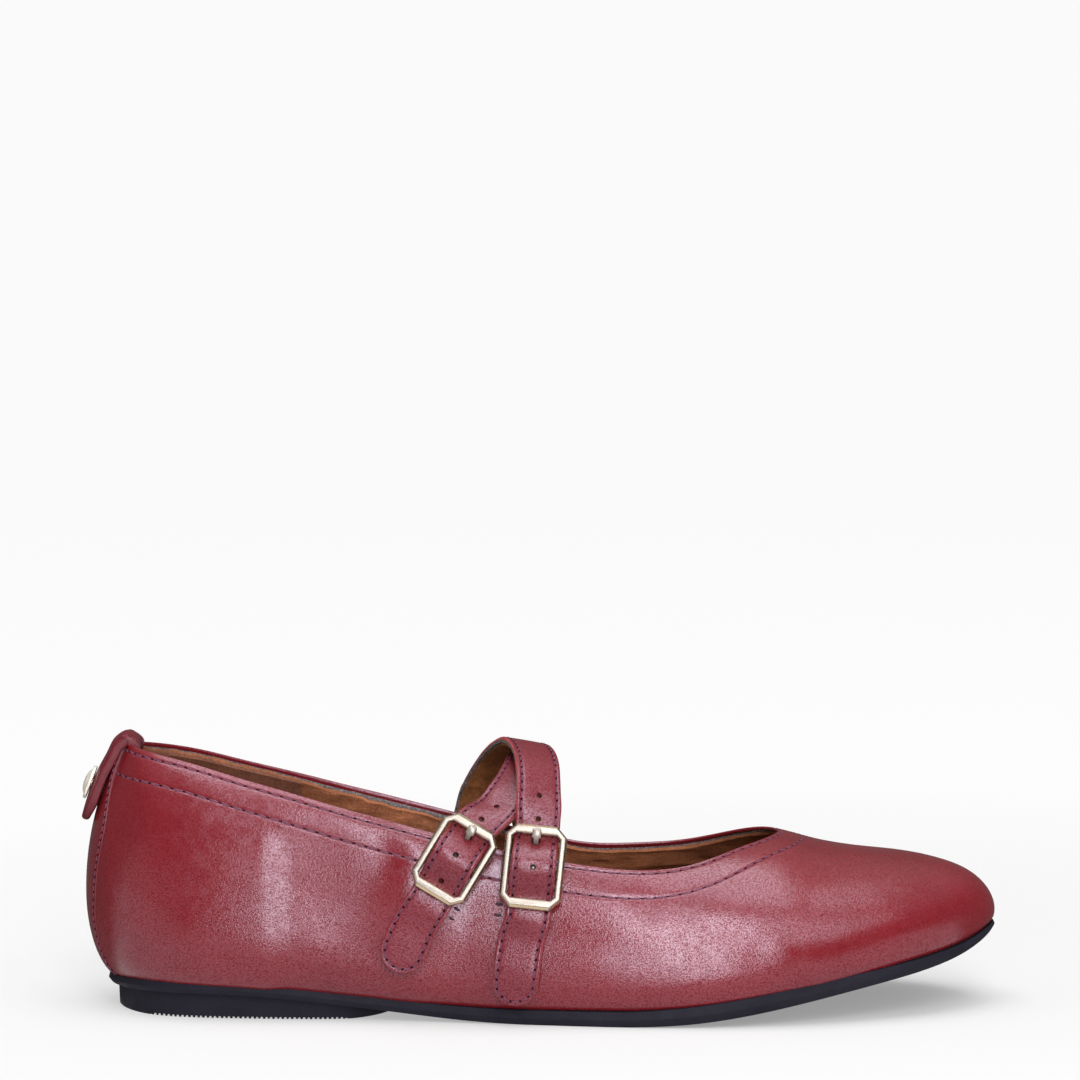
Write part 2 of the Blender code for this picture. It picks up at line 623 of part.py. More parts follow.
def prong(buckle):
    """Curls round the middle bar, runs under the strap and comes up through its hole onto the frame."""
    radius = PIVOT_RADIUS + GAP + PRONG_THICKNESS / 2
    curl = np.radians(np.linspace(190, -90, 12))
    route = [(radius * math.cos(t), -PIVOT_DROP + radius * math.sin(t)) for t in curl]
    route += [(-2.6, -3.3), (-4.6, -3.2), (-5.9, -2.1), (-6.5, -0.6), (-7.1, 0.8), (-8.3, 1.75)]
    route += [(-9.6, 1.95), (-10.9, 1.8), (-11.6, 1.5)]
    spots = [(a, 0.0, n) for a, n in route]
    length, path, _ = strip_route(spots, spots)
    at = np.linspace(0, length[-1], 40)
    (path,) = resample(at, length, path)
    outward = np.cross(unit(np.gradient(path, axis=0)), (0, 1.0, 0))
    rings = ribbon(path, outward, np.full(len(at), PRONG_WIDTH / 2), PRONG_THICKNESS)
    return loft(in_buckle(buckle, rings))


def anchor(buckle):
    """The leather loop that holds the middle bar: sewn to the wall below the buckle, up under the
    bar, over it and back down on itself."""
    spots, outward = [], []
    for distance in (ANCHOR_LENGTH, 11.0, 8.5):
        spot = in_buckle(buckle, (distance, 0, 0))
        u, v = LAST.find(spot[0], spot[2], "lateral")
        outward.append(LAST.normal(u, v))
        spots.append(LAST.wall(u, v) + outward[-1] * (GAP + ANCHOR_THICKNESS / 2))
    radius = PIVOT_RADIUS + GAP + ANCHOR_THICKNESS / 2
    for turn in np.radians((-90, -125, -160, 165, 130, 90)):
        away = np.array([math.cos(turn), 0, math.sin(turn)])
        spots.append(in_buckle(buckle, radius * away - (0, 0, PIVOT_DROP)))
        outward.append(spots[-1] - in_buckle(buckle, (0, 0, -PIVOT_DROP)))
        outward[-1] = -unit(outward[-1])
    for down, rise in ((2.9, -1.2), (5.2, -3.2)):
        spots.append(in_buckle(buckle, (down, 0, rise)))
        outward.append(-in_buckle(buckle, (0, 0, 1)) + in_buckle(buckle, (0, 0, 0)))
    length, path, outward = strip_route(spots, outward)
    at = np.linspace(0, length[-1], round(length[-1] / 0.8))
    path, outward = resample(at, length, path, outward)
    distance = (path - in_buckle(buckle, (0, 0, 0))) @ buckle_axes(buckle)[0]
    half = ANCHOR_LOOP_WIDTH / 2 + (ANCHOR_WIDTH - ANCHOR_LOOP_WIDTH) / 2 * ease((distance - 8.5) / 3)
    return loft(ribbon(path, outward, half, ANCHOR_THICKNESS))


def prong_slot(buckle):
    corners = [(-1.6, -7), (1.6, -7), (1.6, 4), (-1.6, 4)]
    return loft([in_buckle(buckle, [(down, b, n) for b, n in corners]) for down in (-4, 3.0)])


def tab_route():
    spots = [(fold.x, 0.0, fold.z) for fold in TAB]
    length, path, _ = strip_route(spots, spots)
    return length, path, np.cross(unit(np.gradient(path, axis=0)), (0, -1.0, 0))


def heel_tab():
    length, path, outward = tab_route()
    at = tail_stations(length[-1], TAB_WIDTH / 2, 1.5)
    path, outward = resample(at, length, path, outward)
    half = rounded_tail(at[-1], at, TAB_WIDTH / 2)
    curl = TAB_CURL_OUTSIDE + (TAB_CURL_INSIDE - TAB_CURL_OUTSIDE) * ease((path[:, 0] - 7) / 6)
    return loft(ribbon(path, outward, half, TAB_THICKNESS, columns=5, curl=curl))


def stud_axis():
    """The middle of the tab's outer face at the stud, and the way the stud looks."""
    _, path, outward = tab_route()
    spot = np.argmin(np.abs(path[:, 2] - STUD_HEIGHT))
    return path[spot] + outward[spot] * TAB_THICKNESS / 2, outward[spot]


def turned(base, axis, profile, sides=24):
    """A turned solid: the profile gives radius and height along the axis."""
    side = unit(np.cross(axis, (0, 1.0, 0)))
    other = np.cross(axis, side)
    turn = (np.arange(sides) + 0.5) * 2 * math.pi / sides
    ring = np.cos(turn)[:, None] * side + np.sin(turn)[:, None] * other
    return loft([base + axis * height + ring * radius for radius, height in profile])


def stud():
    """A domed head outside the tab, a shank through it and a small cap behind."""
    back = -TAB_THICKNESS - GAP
    cap = [(2.0, back - 0.35), (2.2, back - 0.2), (2.2, back), (1.1, back)]
    head = [(1.1, GAP), (STUD_RADIUS, GAP), (STUD_RADIUS, 0.9), (4.3, 1.25), (3.9, 1.3)]
    dome = [(3.0, 1.9), (1.7, 2.3), (0.6, 2.4)]
    return turned(*stud_axis(), cap + head + dome)


def main():
    for old in list(bpy.data.objects):
        bpy.data.objects.remove(old)
    solid("upper", upper(), LEATHER)
    solid("outsole", outsole(), RUBBER)
    solid("heel", heel_lift(), RUBBER)
    solid("insole", insole(), LINING)
    solid("backstay", backstay(), LEATHER)
    for bends, buckle, facing in (
        (FRONT_STRAP, FRONT_BUCKLE, FRONT_FACING),
        (REAR_STRAP, REAR_BUCKLE, REAR_FACING),
    ):
        band = solid(buckle.name + "_strap", strap(bends, buckle, facing), LEATHER)
        through = [in_buckle(buckle, (-PRONG_HOLE, 0, height)) for height in (-6, 4)]
        hole = round_bar(*through, PRONG_HOLE_RADIUS, 16)
        combine(band, helper(buckle.name + "_strap_hole", hole, LEATHER), "DIFFERENCE")
        frame = solid(buckle.name + "_buckle", buckle_frame(buckle), GOLD)
        combine(frame, helper(buckle.name + "_pivot", pivot_bar(buckle), GOLD), "UNION")
        solid(buckle.name + "_prong", prong(buckle), GOLD)
        loop = solid(buckle.name + "_anchor", anchor(buckle), LEATHER)
        combine(loop, helper(buckle.name + "_slot", prong_slot(buckle), LEATHER), "DIFFERENCE")
    tab = solid("heel_tab", heel_tab(), LEATHER)
    base, axis = stud_axis()
    hole = round_bar(base - axis * 4, base + axis * 3, 1.45)
    combine(tab, helper("stud_hole", hole, LEATHER), "DIFFERENCE")
    solid("tab_stud", stud(), GOLD)


main()
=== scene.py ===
"""Looks for the ballet flat: leather, lining, stitching, painted strap edges, buckles and sole, built
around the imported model, with a pale floor, studio light and the camera.

Lengths are millimetres until place() turns them into metres: x runs from the back of the heel to the
toe, y from the outer side of the foot (negative) to its inner side (positive), z up from the floor.
"""

import math
from collections import namedtuple

import bmesh
import bpy
import numpy as np
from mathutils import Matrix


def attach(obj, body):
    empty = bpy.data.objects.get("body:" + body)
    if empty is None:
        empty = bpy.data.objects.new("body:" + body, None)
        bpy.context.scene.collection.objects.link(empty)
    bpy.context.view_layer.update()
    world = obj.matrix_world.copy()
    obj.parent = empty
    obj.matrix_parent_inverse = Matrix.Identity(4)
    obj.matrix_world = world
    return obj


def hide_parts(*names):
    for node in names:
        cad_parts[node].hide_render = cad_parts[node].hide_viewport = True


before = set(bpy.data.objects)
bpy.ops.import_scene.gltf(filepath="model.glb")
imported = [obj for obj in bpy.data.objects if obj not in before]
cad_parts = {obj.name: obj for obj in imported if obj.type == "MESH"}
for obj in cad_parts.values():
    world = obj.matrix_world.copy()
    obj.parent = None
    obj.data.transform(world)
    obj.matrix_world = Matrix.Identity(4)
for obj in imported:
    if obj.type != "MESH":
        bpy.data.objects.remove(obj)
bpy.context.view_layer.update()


def table(columns, *rows):
    """A short table whose rows have named columns."""
    row = namedtuple("Row", columns)
    return [row(*values) for values in rows]


# Driving dimensions.
HEEL_TO_ORIGIN = 122.9  # from the back of the heel to the middle of the shoe's length
GAP = 0.3  # clearance between pieces that touch
WALL = 1.8  # leather and lining of the upper
SKIN = 0.9  # leather of the upper on its own
RIM_RADIUS = 0.42  # of the collar's edge
WELT = 1.6  # how far the outsole stands out past the upper's lower edge
INSOLE_THICKNESS = 2.6
LIFT_INSET = 2.7  # the heel lift stands in from the outsole's edge by this much
LIFT_FRONT = 82.5
LIFT_TURN = 60.0  # the lift's sides draw in from here to its rounded front
LIFT_DRAW_IN = 13.0
STRAP_WIDTH = 12.5
STRAP_NECK = 0.25  # each edge draws in by this much inside the buckle
STRAP_THICKNESS = 2.2
BACKSTAY_HALF_WIDTH = 10.5
TAB_WIDTH = 15.0
TAB_THICKNESS = 1.6
STUD_RADIUS = 4.7
STUD_HEIGHT = 60.4

# Sewing: the length of one stitch, and how far a row lies in from the edge.
COLLAR_STITCH = 3.46
STRAP_STITCH, STRAP_SEAM = 2.6, 1.3
TAB_STITCH, TAB_SEAM = 2.4, 1.5
BACKSTAY_STITCH, BACKSTAY_SEAM = 2.1, 0.95
SEWN_END_ROWS = (1.6, 10.5)  # the rows across a strap's sewn end, from that end
# Length and width of the near-black blobs that paint the shade in the straps' needle holes.
STRAP_HOLE_SHADE_SIZE = (0.78, 0.66)

# The last in sections from heel to toe. lateral and medial are the widest points of each section and
# height is where they lie; rim_* is where the section's rib ends at the collar; roll is how many
# degrees the wall bends over on the way up; tuck_* is how far it draws in below, down to the sole.
SECTIONS = table(
    "name x lateral medial height rim_x rim_lateral rim_medial roll tuck_lateral tuck_medial",
    ("heel back", -0.6, 0.0, 0.0, 31.0, 9.8, 0.0, 0.0, 30, 6.8, 6.8),
    ("heel turn", 3.2, -13.5, 13.5, 30.0, 11.4, -7.5, 7.5, 30, 6.4, 6.4),
    ("heel corner", 14.0, -25.0, 25.0, 25.5, 18.0, -15.0, 15.0, 30, 5.0, 5.0),
    ("heel", 36.0, -31.0, 30.5, 20.5, 37.0, -21.5, 21.5, 31, 4.0, 4.2),
    ("ankle", 63.0, -32.5, 31.0, 17.0, 63.0, -26.3, 26.0, 33, 3.6, 4.8),
    ("waist", 92.0, -34.5, 29.8, 14.0, 92.0, -29.3, 28.0, 35, 3.6, 6.0),
    ("instep", 119.0, -38.0, 31.5, 12.0, 119.0, -28.8, 27.0, 38, 3.2, 5.0),
    ("ball rear", 144.0, -41.3, 36.3, 11.5, 144.0, -29.8, 27.0, 44, 2.6, 3.4),
    ("ball", 167.0, -42.0, 40.8, 13.3, 163.0, -26.5, 26.5, 54, 2.2, 2.6),
    ("joint", 189.0, -39.0, 42.0, 16.9, 175.5, -18.0, 21.5, 68, 2.0, 2.2),
    ("vamp", 209.0, -32.5, 39.0, 20.6, 183.0, -10.5, 14.5, 80, 1.8, 1.9),
    ("toe", 227.0, -23.5, 32.0, 22.6, 186.6, -4.0, 8.5, 85, 1.7, 1.7),
    ("toe turn", 241.0, -10.5, 20.5, 24.2, 187.9, 0.3, 4.8, 88, 1.6, 1.6),
    ("toe tip", 248.0, 5.0, 5.0, 25.0, 188.2, 2.5, 2.5, 90, 1.6, 1.6),
)

# Height of the collar's edge along the shoe. It is a little lower along the inner side.
INNER_COLLAR_DROP = 1.1
COLLAR = table(
    "x height",
    (9.8, 72.6), (18, 71.0), (28, 68.9), (41, 65.3), (55, 61.6), (67, 58.3), (80, 54.9), (94, 51.2),
    (112, 46.8), (130, 43.3), (140, 42.1), (151, 41.6), (165, 42.5), (176, 44.4), (184, 46.3), (189, 47.4),
)

# The last's ridge, over the open instep and down the vamp to the toe, and where it lies across.
RIDGE = table(
    "x height middle",
    (118, 61.0, 0.0), (134, 57.0, 0.0), (151, 53.0, 0.0), (165, 50.3, 0.9), (177, 48.8, 1.8),
    (188, 47.3, 2.5), (198, 44.6, 3.4), (210, 42.4, 4.1), (222, 41.1, 4.5), (232, 39.1, 4.7),
    (240, 36.1, 4.9), (245, 32.3, 5.0), (247.4, 28.4, 5.0), (248, 25.0, 5.0), (247.4, 21.6, 5.0),
)

# The outsole's underside and thickness. It lies on the floor under the ball of the foot, and the
# lift fills the space under the heel.
SOLE = table(
    "x under thick",
    (4, 6.3, 2.4), (12, 6.7, 3.1), (28, 6.9, 3.3), (45, 6.4, 3.3), (61, 5.1, 3.3), (77, 3.4, 3.4),
    (93, 1.6, 3.7), (107, 0.4, 4.0), (119, 0.0, 4.1), (146, 0.0, 4.3), (163, 0.9, 4.8), (180, 3.3, 5.0),
    (200, 7.2, 4.7), (218, 10.8, 3.9), (232, 13.8, 3.4), (242, 17.2, 2.6), (248, 20.4, 2.0),
)

# Buckles: the middle of the frame, its lean back and its tilt in, in degrees.
FRONT_BUCKLE, REAR_BUCKLE = table(
    "name x y z lean tilt",
    ("front", 121.1, -37.0, 43.0, 6.0, 19.0),
    ("rear", 100.0, -36.1, 44.9, 31.0, 17.0),
)
FRAME_LENGTH = 22.9
FRAME_WIDTH = 16.6
FRAME_CORNER = 3.0
FRAME_THICKNESS = 2.0
WINDOW_LENGTH = 17.7
WINDOW_WIDTH = 12.9
WINDOW_CORNER = 1.0
PIVOT_DROP = 1.3  # the middle bar lies this far under the frame
PIVOT_RADIUS = 0.7
PRONG_HOLE = 6.6  # from the middle bar up the strap
PRONG_THICKNESS = 0.9
HOLE_RADIUS = 0.78
PRONG_HOLE_RADIUS = 1.15

# The leather loops that hold the buckles' middle bars.
ANCHOR_LENGTH = 13.4  # from the bar down to the sewn end
ANCHOR_WIDTH = 12.0
ANCHOR_LOOP_WIDTH = 10.6
ANCHOR_THICKNESS = 0.7

# Each bend of a strap's middle surface, from the inner side of the foot over to the tail. On a wall the
# place is x, height and distance from the leather; in a buckle, distance along and out from its frame.
# The rear strap's places are where it lies once worn in.
SEAT = GAP + STRAP_THICKNESS / 2
TAIL_SEAT = SEAT + 0.25
UNDER_FRAME = -(FRAME_THICKNESS / 2 + GAP + STRAP_THICKNESS / 2) - 0.1
OVER_PIVOT = 2.1
IN_BUCKLE = [
    ("in the buckle", "buckle", a, UNDER_FRAME + (OVER_PIVOT - UNDER_FRAME) * rise, 0)
    for a, rise in (
        (-12, 0), (-9.4, 0), (-6.6, 0.18), (-3.4, 0.7), (0, 1),
        (3.4, 0.7), (6.6, 0.18), (9.4, 0), (13.2, 0),
    )
]
FRONT_STRAP = table(
    "name on a b c",
    ("sewn end", "medial", 101.5, 31.0, SEAT),
    ("inner wall", "medial", 103.0, 40.0, SEAT),
    ("inner edge", "medial", 104.8, 46.6, SEAT + 0.4),
    ("inner rise", "free", 106.6, 27.8, 53.4),
    ("inner bend", "free", 109.5, 23.6, 59.6),
    ("inner slope", "free", 112.6, 17.2, 65.0),
    ("inner crown", "free", 115.8, 8.5, 69.2),
    ("crown", "free", 118.7, -1.0, 71.5),
    ("outer crown", "free", 121.1, -10.5, 70.6),
    ("outer slope", "free", 122.2, -19.5, 67.2),
    ("outer bend", "free", 122.4, -26.4, 61.4),
    *IN_BUCKLE,
    ("tail start", "lateral", 118.4, 24.5, TAIL_SEAT),
    ("tail", "lateral", 117.0, 16.0, TAIL_SEAT),
    ("tail end", "lateral", 115.6, 6.6, TAIL_SEAT),
)
REAR_STRAP = table(
    "name on a b c",
    ("sewn end", "medial", 124.5, 27.0, SEAT),
    ("inner wall", "medial", 123.8, 36.0, SEAT),
    ("inner edge", "medial", 121.8, 42.6, SEAT + 0.4),
    ("inner rise", "free", 120.4, 26.6, 50.0),
    ("inner bend", "free", 120.2, 22.4, 56.0),
    ("inner slope", "free", 120.3, 15.8, 61.5),
    ("inner crown", "free", 120.6, 8.0, 65.8),
    ("crown", "free", 120.3, -0.5, 67.6),
    ("outer crown", "free", 119.2, -8.6, 66.5),
    ("outer slope", "free", 117.0, -15.8, 63.4),
    ("outer bend", "free", 113.5, -22.4, 59.1),
    ("outer edge", "free", 109.8, -26.8, 55.6),
    *IN_BUCKLE,
    ("tail start", "lateral", 90.0, 27.8, TAIL_SEAT + 1.0),
    ("tail", "lateral", 87.3, 22.0, TAIL_SEAT + 0.35),
    ("tail end", "lateral", 83.8, 14.6, TAIL_SEAT),
)

# Over the instep a strap's outer face looks away from a line along the foot. It also leans forward
# and turns with the strap's slant across the foot.
FRONT_FACING, REAR_FACING = table("height forward slant", (32, 8.0, -0.30), (32, 1.0, 0.30))

# The pull tab's middle surface down its centre: from inside the heel over the collar to the loose tip.
TAB = table(
    "name x z",
    ("inner end", 14.0, 69.4), ("inner shoulder", 14.3, 71.8), ("over the lining", 12.7, 73.5),
    ("top", 10.1, 74.0), ("outer shoulder", 7.6, 72.8), ("outer leaf", 5.8, 69.7),
    ("upper outer leaf", 3.5, 65.4), ("at the stud", 0.7, 59.0), ("tip", -1.8, 50.7),
)

# How far the backstay reaches to each side, from its lower end to the collar.
BACKSTAY = table(
    "v half",
    (-1.0, 13.3), (-0.6, 12.6), (-0.3, 12.1), (0.05, 12.9), (0.3, 14.2), (0.45, 15.0), (0.6, 14.1),
    (0.72, 12.1), (0.85, 10.4), (1.0, 10.2),
)

# Folds (and, where the depth is negative, rises) of the outer side's leather, each along a line.
CREASES = table(
    "name x0 z0 x1 z1 width depth",
    ("collar fold behind the straps", 78, 54, 82, 46, 4.5, 0.25),
    ("vamp fold", 152, 33, 180, 22, 6.0, 0.40),
    ("vamp ridge under it", 168, 21, 192, 21, 4.0, -0.25),
    ("toe dimple", 196, 30, 212, 26, 6.0, 0.25),
    ("rise beside the rear strap", 92, 42, 89, 31, 7.0, -1.1),
)

# How much fuller the wall is just above the sole than the last, from heel to toe.
FULLNESS = table(
    "x out",
    (0, 0.2), (40, 0.35), (95, 0.30), (130, 0.10), (156, 0.20), (180, 0.90), (190, 1.10), (200, 1.20),
    (210, 0.60), (225, 0.0), (248, 0.0),
)


def place(points):
    """Millimetres from the back of the heel to metres from the model's origin."""
    return (np.asarray(points, float) - (HEEL_TO_ORIGIN, 0, 0)) * 0.001


def spline(knots, values, at, closed=False):
    """Natural cubic spline through values at the knots, or a periodic one."""
    knots, values, at = (np.asarray(given, float) for given in (knots, values, at))
    count, span = len(knots), np.diff(knots)
    slope = (np.diff(values, axis=0).T / span).T
    system, target = np.zeros((count, count)), np.zeros((count,) + values.shape[1:])
    for i in range(1, count - 1):
        system[i, i - 1 : i + 2] = span[i - 1], 2 * (span[i - 1] + span[i]), span[i]
        target[i] = 6 * (slope[i] - slope[i - 1])
    if closed:
        system[0, [0, 1, count - 2]] = 2 * (span[-1] + span[0]), span[0], span[-1]
        target[0] = 6 * (slope[0] - slope[-1])
        system[-1, [0, -1]] = -1, 1
        at = knots[0] + np.mod(at - knots[0], knots[-1] - knots[0])
    else:
        system[0, 0] = system[-1, -1] = 1
    bend = np.linalg.solve(system, target)
    k = np.clip(np.searchsorted(knots, at, side="right") - 1, 0, count - 2)
    width = span[k]
    b = (at - knots[k]) / width
    if values.ndim > 1:
        b, width = b[..., None], width[..., None]
    a = 1 - b
    curve = (a**3 - a) * bend[k] + (b**3 - b) * bend[k + 1]
    return a * values[k] + b * values[k + 1] + curve * width * width / 6


def column(rows, name):
    return np.array([getattr(row, name) for row in rows], float)


def read(rows, name, at, by="x"):
    """A smooth curve through one column of a table."""
    return spline(column(rows, by), column(rows, name), at)


def ease(t):
    t = np.clip(t, 0, 1)
    return t * t * (3 - 2 * t)


def hump(t):
    return np.exp(-(t**2))


def unit(vectors):
    return vectors / np.linalg.norm(vectors, axis=-1, keepdims=True)


def distances_along(path):
    return np.concatenate([[0], np.cumsum(np.linalg.norm(np.diff(path, axis=0), axis=1))])


def resample(at, length, *tracks):
    return [np.stack([np.interp(at, length, track[:, i]) for i in range(3)], -1) for track in tracks]


class Last:
    """The shoe's surface. u runs round the shoe from the heel's back along the outer side to the toe
    and home along the inner side; v runs from the sole's edge (-1) over the widest line (0) to the
    collar (1)."""

    undercut = math.radians(70)

    def __init__(self):
        outer = [(s.x, s.lateral, s.rim_x, s.rim_lateral, s.tuck_lateral) for s in SECTIONS]
        inner = [(s.x, s.medial, s.rim_x, s.rim_medial, s.tuck_medial) for s in SECTIONS]
        self.rows = np.array(outer + inner[-2:0:-1] + outer[:1])
        self.knots = distances_along(self.rows[:, :2])
        self.toe = self.knots[len(SECTIONS) - 1]
        self.length = self.knots[-1]
        around = spline(self.knots, self.rows[:, :2], np.linspace(0, self.length, 4001), True)
        tip = np.argmax(around[:, 0])
        self.outer_side = around[: tip + 1]
        self.inner_side = around[tip:][::-1]
        ridge = np.array(RIDGE, float)
        along = distances_along(ridge[:, :2])
        self.ridge = spline(along, ridge, np.linspace(0, along[-2], 2000))
        self.ridge[:, 0] = np.maximum.accumulate(self.ridge[:, 0])

    def station(self, place_along, side):
        """u of a place counted in sections, 0 at the heel's back and 13 at the toe's tip."""
        count = len(SECTIONS)
        knots = self.knots[:count] if side == "lateral" else self.knots[count - 1 :][::-1]
        return np.interp(place_along, np.arange(count), knots)

    def under(self, x):
        return np.maximum(read(SOLE, "under", np.clip(x, 4, 248)), 0)

    def edge_height(self, x):
        """Height of the upper's lower edge, which is the top of the outsole."""
        return self.under(x) + read(SOLE, "thick", np.clip(x, 4, 248))

    def vamp_height(self, x, y):
        """The closed top of the last over the toes: half an ellipse across at each x."""
        ridge, middle = (np.interp(x, self.ridge[:, 0], self.ridge[:, i]) for i in (1, 2))
        outer = middle - np.interp(x, *self.outer_side.T)
        inner = np.interp(x, *self.inner_side.T) - middle
        half = np.maximum(np.where(y < middle, outer, inner), 1e-6)
        across = np.clip(np.abs(y - middle) / half, 0, 1)
        base = read(SECTIONS, "height", x)
        return base + (ridge - base) * np.sqrt(1 - across**2)

    def rim_x(self, u):
        return spline(self.knots, self.rows[:, 2], u, True)

    def inward(self, u):
        step = 0.05
        ahead = spline(self.knots, self.rows[:, :2], u + step, True)
        behind = spline(self.knots, self.rows[:, :2], u - step, True)
        along = unit(ahead - behind)
        return np.stack([-along[..., 1], along[..., 0]], -1)

    def outline(self, u, inset=0.0):
        """Plan points at an inset in millimetres from the upper's lower edge."""
        row = spline(self.knots, self.rows, u, True)
        return row[..., :2] + self.inward(u) * (row[..., 4:5] + inset)

    def wall(self, u, v):
        """The surface below the widest line turns in to the sole's edge along an ellipse, and above it
        rises to the collar."""
        u, v = np.broadcast_arrays(np.asarray(u, float), np.asarray(v, float))
        row = spline(self.knots, self.rows, u, True)
        widest, rim = row[..., 0:2], row[..., 2:4]
        base = read(SECTIONS, "height", widest[..., 0])
        bottom = self.outline(u)
        turn = np.clip(-v, 0, 1) * self.undercut
        drawn = (1 - np.cos(turn)) / (1 - math.cos(self.undercut))
        low_xy = widest + (bottom - widest) * drawn[..., None]
        foot = self.edge_height(bottom[..., 0])
        low_z = base - (base - foot) * np.sin(turn) / math.sin(self.undercut)
        roll = np.radians(read(SECTIONS, "roll", widest[..., 0]))
        turn = np.clip(v, 0, 1) * roll
        xy = widest + (rim - widest) * ((1 - np.cos(turn)) / (1 - np.cos(roll)))[..., None]
        collar = read(COLLAR, "height", rim[..., 0]) - INNER_COLLAR_DROP * ease(rim[..., 1] / 12)
        side_z = base + (collar - base) * np.sin(turn) / np.sin(roll)
        vamp = ease((widest[..., 0] - 122) / 28)
        high_z = side_z + (self.vamp_height(xy[..., 0], xy[..., 1]) - side_z) * vamp
        above = v >= 0
        plan = np.where(above[..., None], xy, low_xy)
        return np.concatenate([plan, np.where(above, high_z, low_z)[..., None]], -1)

    def normal(self, u, v):
        step = 0.01
        along = self.wall(u + 5 * step, v) - self.wall(u - 5 * step, v)
        low = np.where((v < step) & (v >= 0), 0, v - step)
        up = self.wall(u, np.minimum(v + step, 1)) - self.wall(u, np.maximum(low, -1))
        return unit(np.cross(along, up))

    def face(self, u, v):
        """Points of the wall and the ways it faces there."""
        return self.wall(u, v), self.normal(u, v)

    def around(self, count, corner_radius):
        """Places round the shoe, closer together where its outline turns faster than this radius."""
        u = np.linspace(0, self.length, 3001)
        ahead = self.inward(u)
        turn = np.abs(np.diff(np.unwrap(np.arctan2(ahead[:, 1], ahead[:, 0]))))
        weight = np.concatenate([[0], np.cumsum(np.diff(u) + corner_radius * turn)])
        return np.interp(np.arange(count) * weight[-1] / count, weight, u)

    def find(self, x, z, side):
        """The point of one side wall at this x and height, and which way the wall faces there."""
        lo, hi = (0.0, self.toe) if side == "lateral" else (self.toe, self.length)
        u, v = np.meshgrid(np.linspace(lo, hi, 120), np.linspace(-1, 1, 60))
        grid = self.wall(u, v)
        best = np.argmin((grid[..., 0] - x) ** 2 + (grid[..., 2] - z) ** 2)
        spot = np.array([u.flat[best], v.flat[best]])
        for _ in range(12):
            here = self.wall(*spot)[[0, 2]]
            along = (self.wall(spot[0] + 0.01, spot[1])[[0, 2]] - here) / 0.01
            up = (self.wall(spot[0], spot[1] + 1e-4)[[0, 2]] - here) / 1e-4
            change = np.linalg.lstsq(np.column_stack([along, up]), (x, z) - here, rcond=None)[0]
            spot = spot + change * 0.8
            spot[1] = np.clip(spot[1], -1, 1)
        return self.face(*spot)


LAST = Last()


def buckle_axes(buckle):
    """The frame's own axes: down the strap, across it and out from the foot."""
    tilt, lean = math.radians(buckle.tilt), math.radians(buckle.lean)
    out = np.array([0, -math.cos(tilt), math.sin(tilt)])
    straight_down = np.array([0, -math.sin(tilt), -math.cos(tilt)])
    down = straight_down * math.cos(lean) + np.array([-1.0, 0, 0]) * math.sin(lean)
    return down, np.cross(down, out), out


def in_buckle(buckle, local):
    """Points given as (down, across, out) in a buckle's frame."""
    middle = np.array([buckle.x, buckle.y, buckle.z])
    return middle + np.asarray(local, float) @ np.array(buckle_axes(buckle))


def wall_at_buckle(buckle, down, across=0):
    """The leather behind a place given in a buckle's frame, and which way it faces."""
    spot = in_buckle(buckle, (down, across, 0))
    return LAST.find(spot[0], spot[2], "lateral")


def bend_at(bend, buckle, facing):
    """Where a bend lies and which way its outer face looks."""
    if bend.on == "buckle":
        return in_buckle(buckle, (bend.a, 0, bend.b)), buckle_axes(buckle)[2]
    if bend.on == "free":
        outward = (facing.forward + facing.slant * bend.b, bend.b, bend.c - facing.height)
        return np.array([bend.a, bend.b, bend.c]), unit(np.array(outward))
    spot, out = LAST.find(bend.a, bend.b, bend.on)
    return spot + out * bend.c, out


def strip_route(spots, outward):
    """Finely spaced points through the spots, with their distances along and outward directions."""
    spots, outward = np.array(spots), np.array(outward)
    along = distances_along(spots)
    fine = np.linspace(0, along[-1], 1200)
    path = spline(along, spots, fine)
    return distances_along(path), path, spline(along, outward, fine)


def tab_route():
    spots = [(fold.x, 0.0, fold.z) for fold in TAB]
    length, path, _ = strip_route(spots, spots)
    return length, path, np.cross(unit(np.gradient(path, axis=0)), (0, -1.0, 0))


def stud_axis():
    """The middle of the tab's outer face at the stud, and the way the stud looks."""
    _, path, outward = tab_route()
    spot = np.argmin(np.abs(path[:, 2] - STUD_HEIGHT))
    return path[spot] + outward[spot] * TAB_THICKNESS / 2, outward[spot]


class Noise:
    """Smooth, repeatable wandering between about -1 and 1 over points in millimetres."""

    def __init__(self, seed, size, waves=9):
        chance = np.random.default_rng(seed)
        way = unit(chance.normal(size=(waves, 3)))
        self.way = way * (2 * math.pi / (size * chance.uniform(0.6, 1.7, (waves, 1))))
        self.phase = chance.uniform(0, 2 * math.pi, waves)

    def __call__(self, points):
        return np.sin(points @ self.way.T + self.phase).sum(-1) / math.sqrt(len(self.phase))


def sweep(rings, closed=False, looks=None):
    """Faces over rings of points, each ring closed on itself. looks gives each step round the ring
    its material; the ends are capped unless the rings close on each other."""
    rings = np.asarray(rings, float)
    count, size = rings.shape[:2]
    looks = looks or [0] * size
    i = np.arange(count if closed else count - 1)[:, None]
    j = np.arange(size)[None, :]
    following, k = (i + 1) % count * size, (j + 1) % size
    corners = (i * size + j, i * size + k, following + k, following + j)
    faces = np.stack(np.broadcast_arrays(*corners), -1).reshape(-1, 4).tolist()
    materials = looks * len(i)
    if not closed:
        for start in (0, (count - 1) * size):
            for step in range((size - 1) // 2):
                a, b = start + step, start + size - 1 - step
                faces.append((a, a + 1, b - 1, b) if b - a > 2 else (a, a + 1, b))
                materials.append(looks[size // 2])
    return rings.reshape(-1, 3), faces, materials


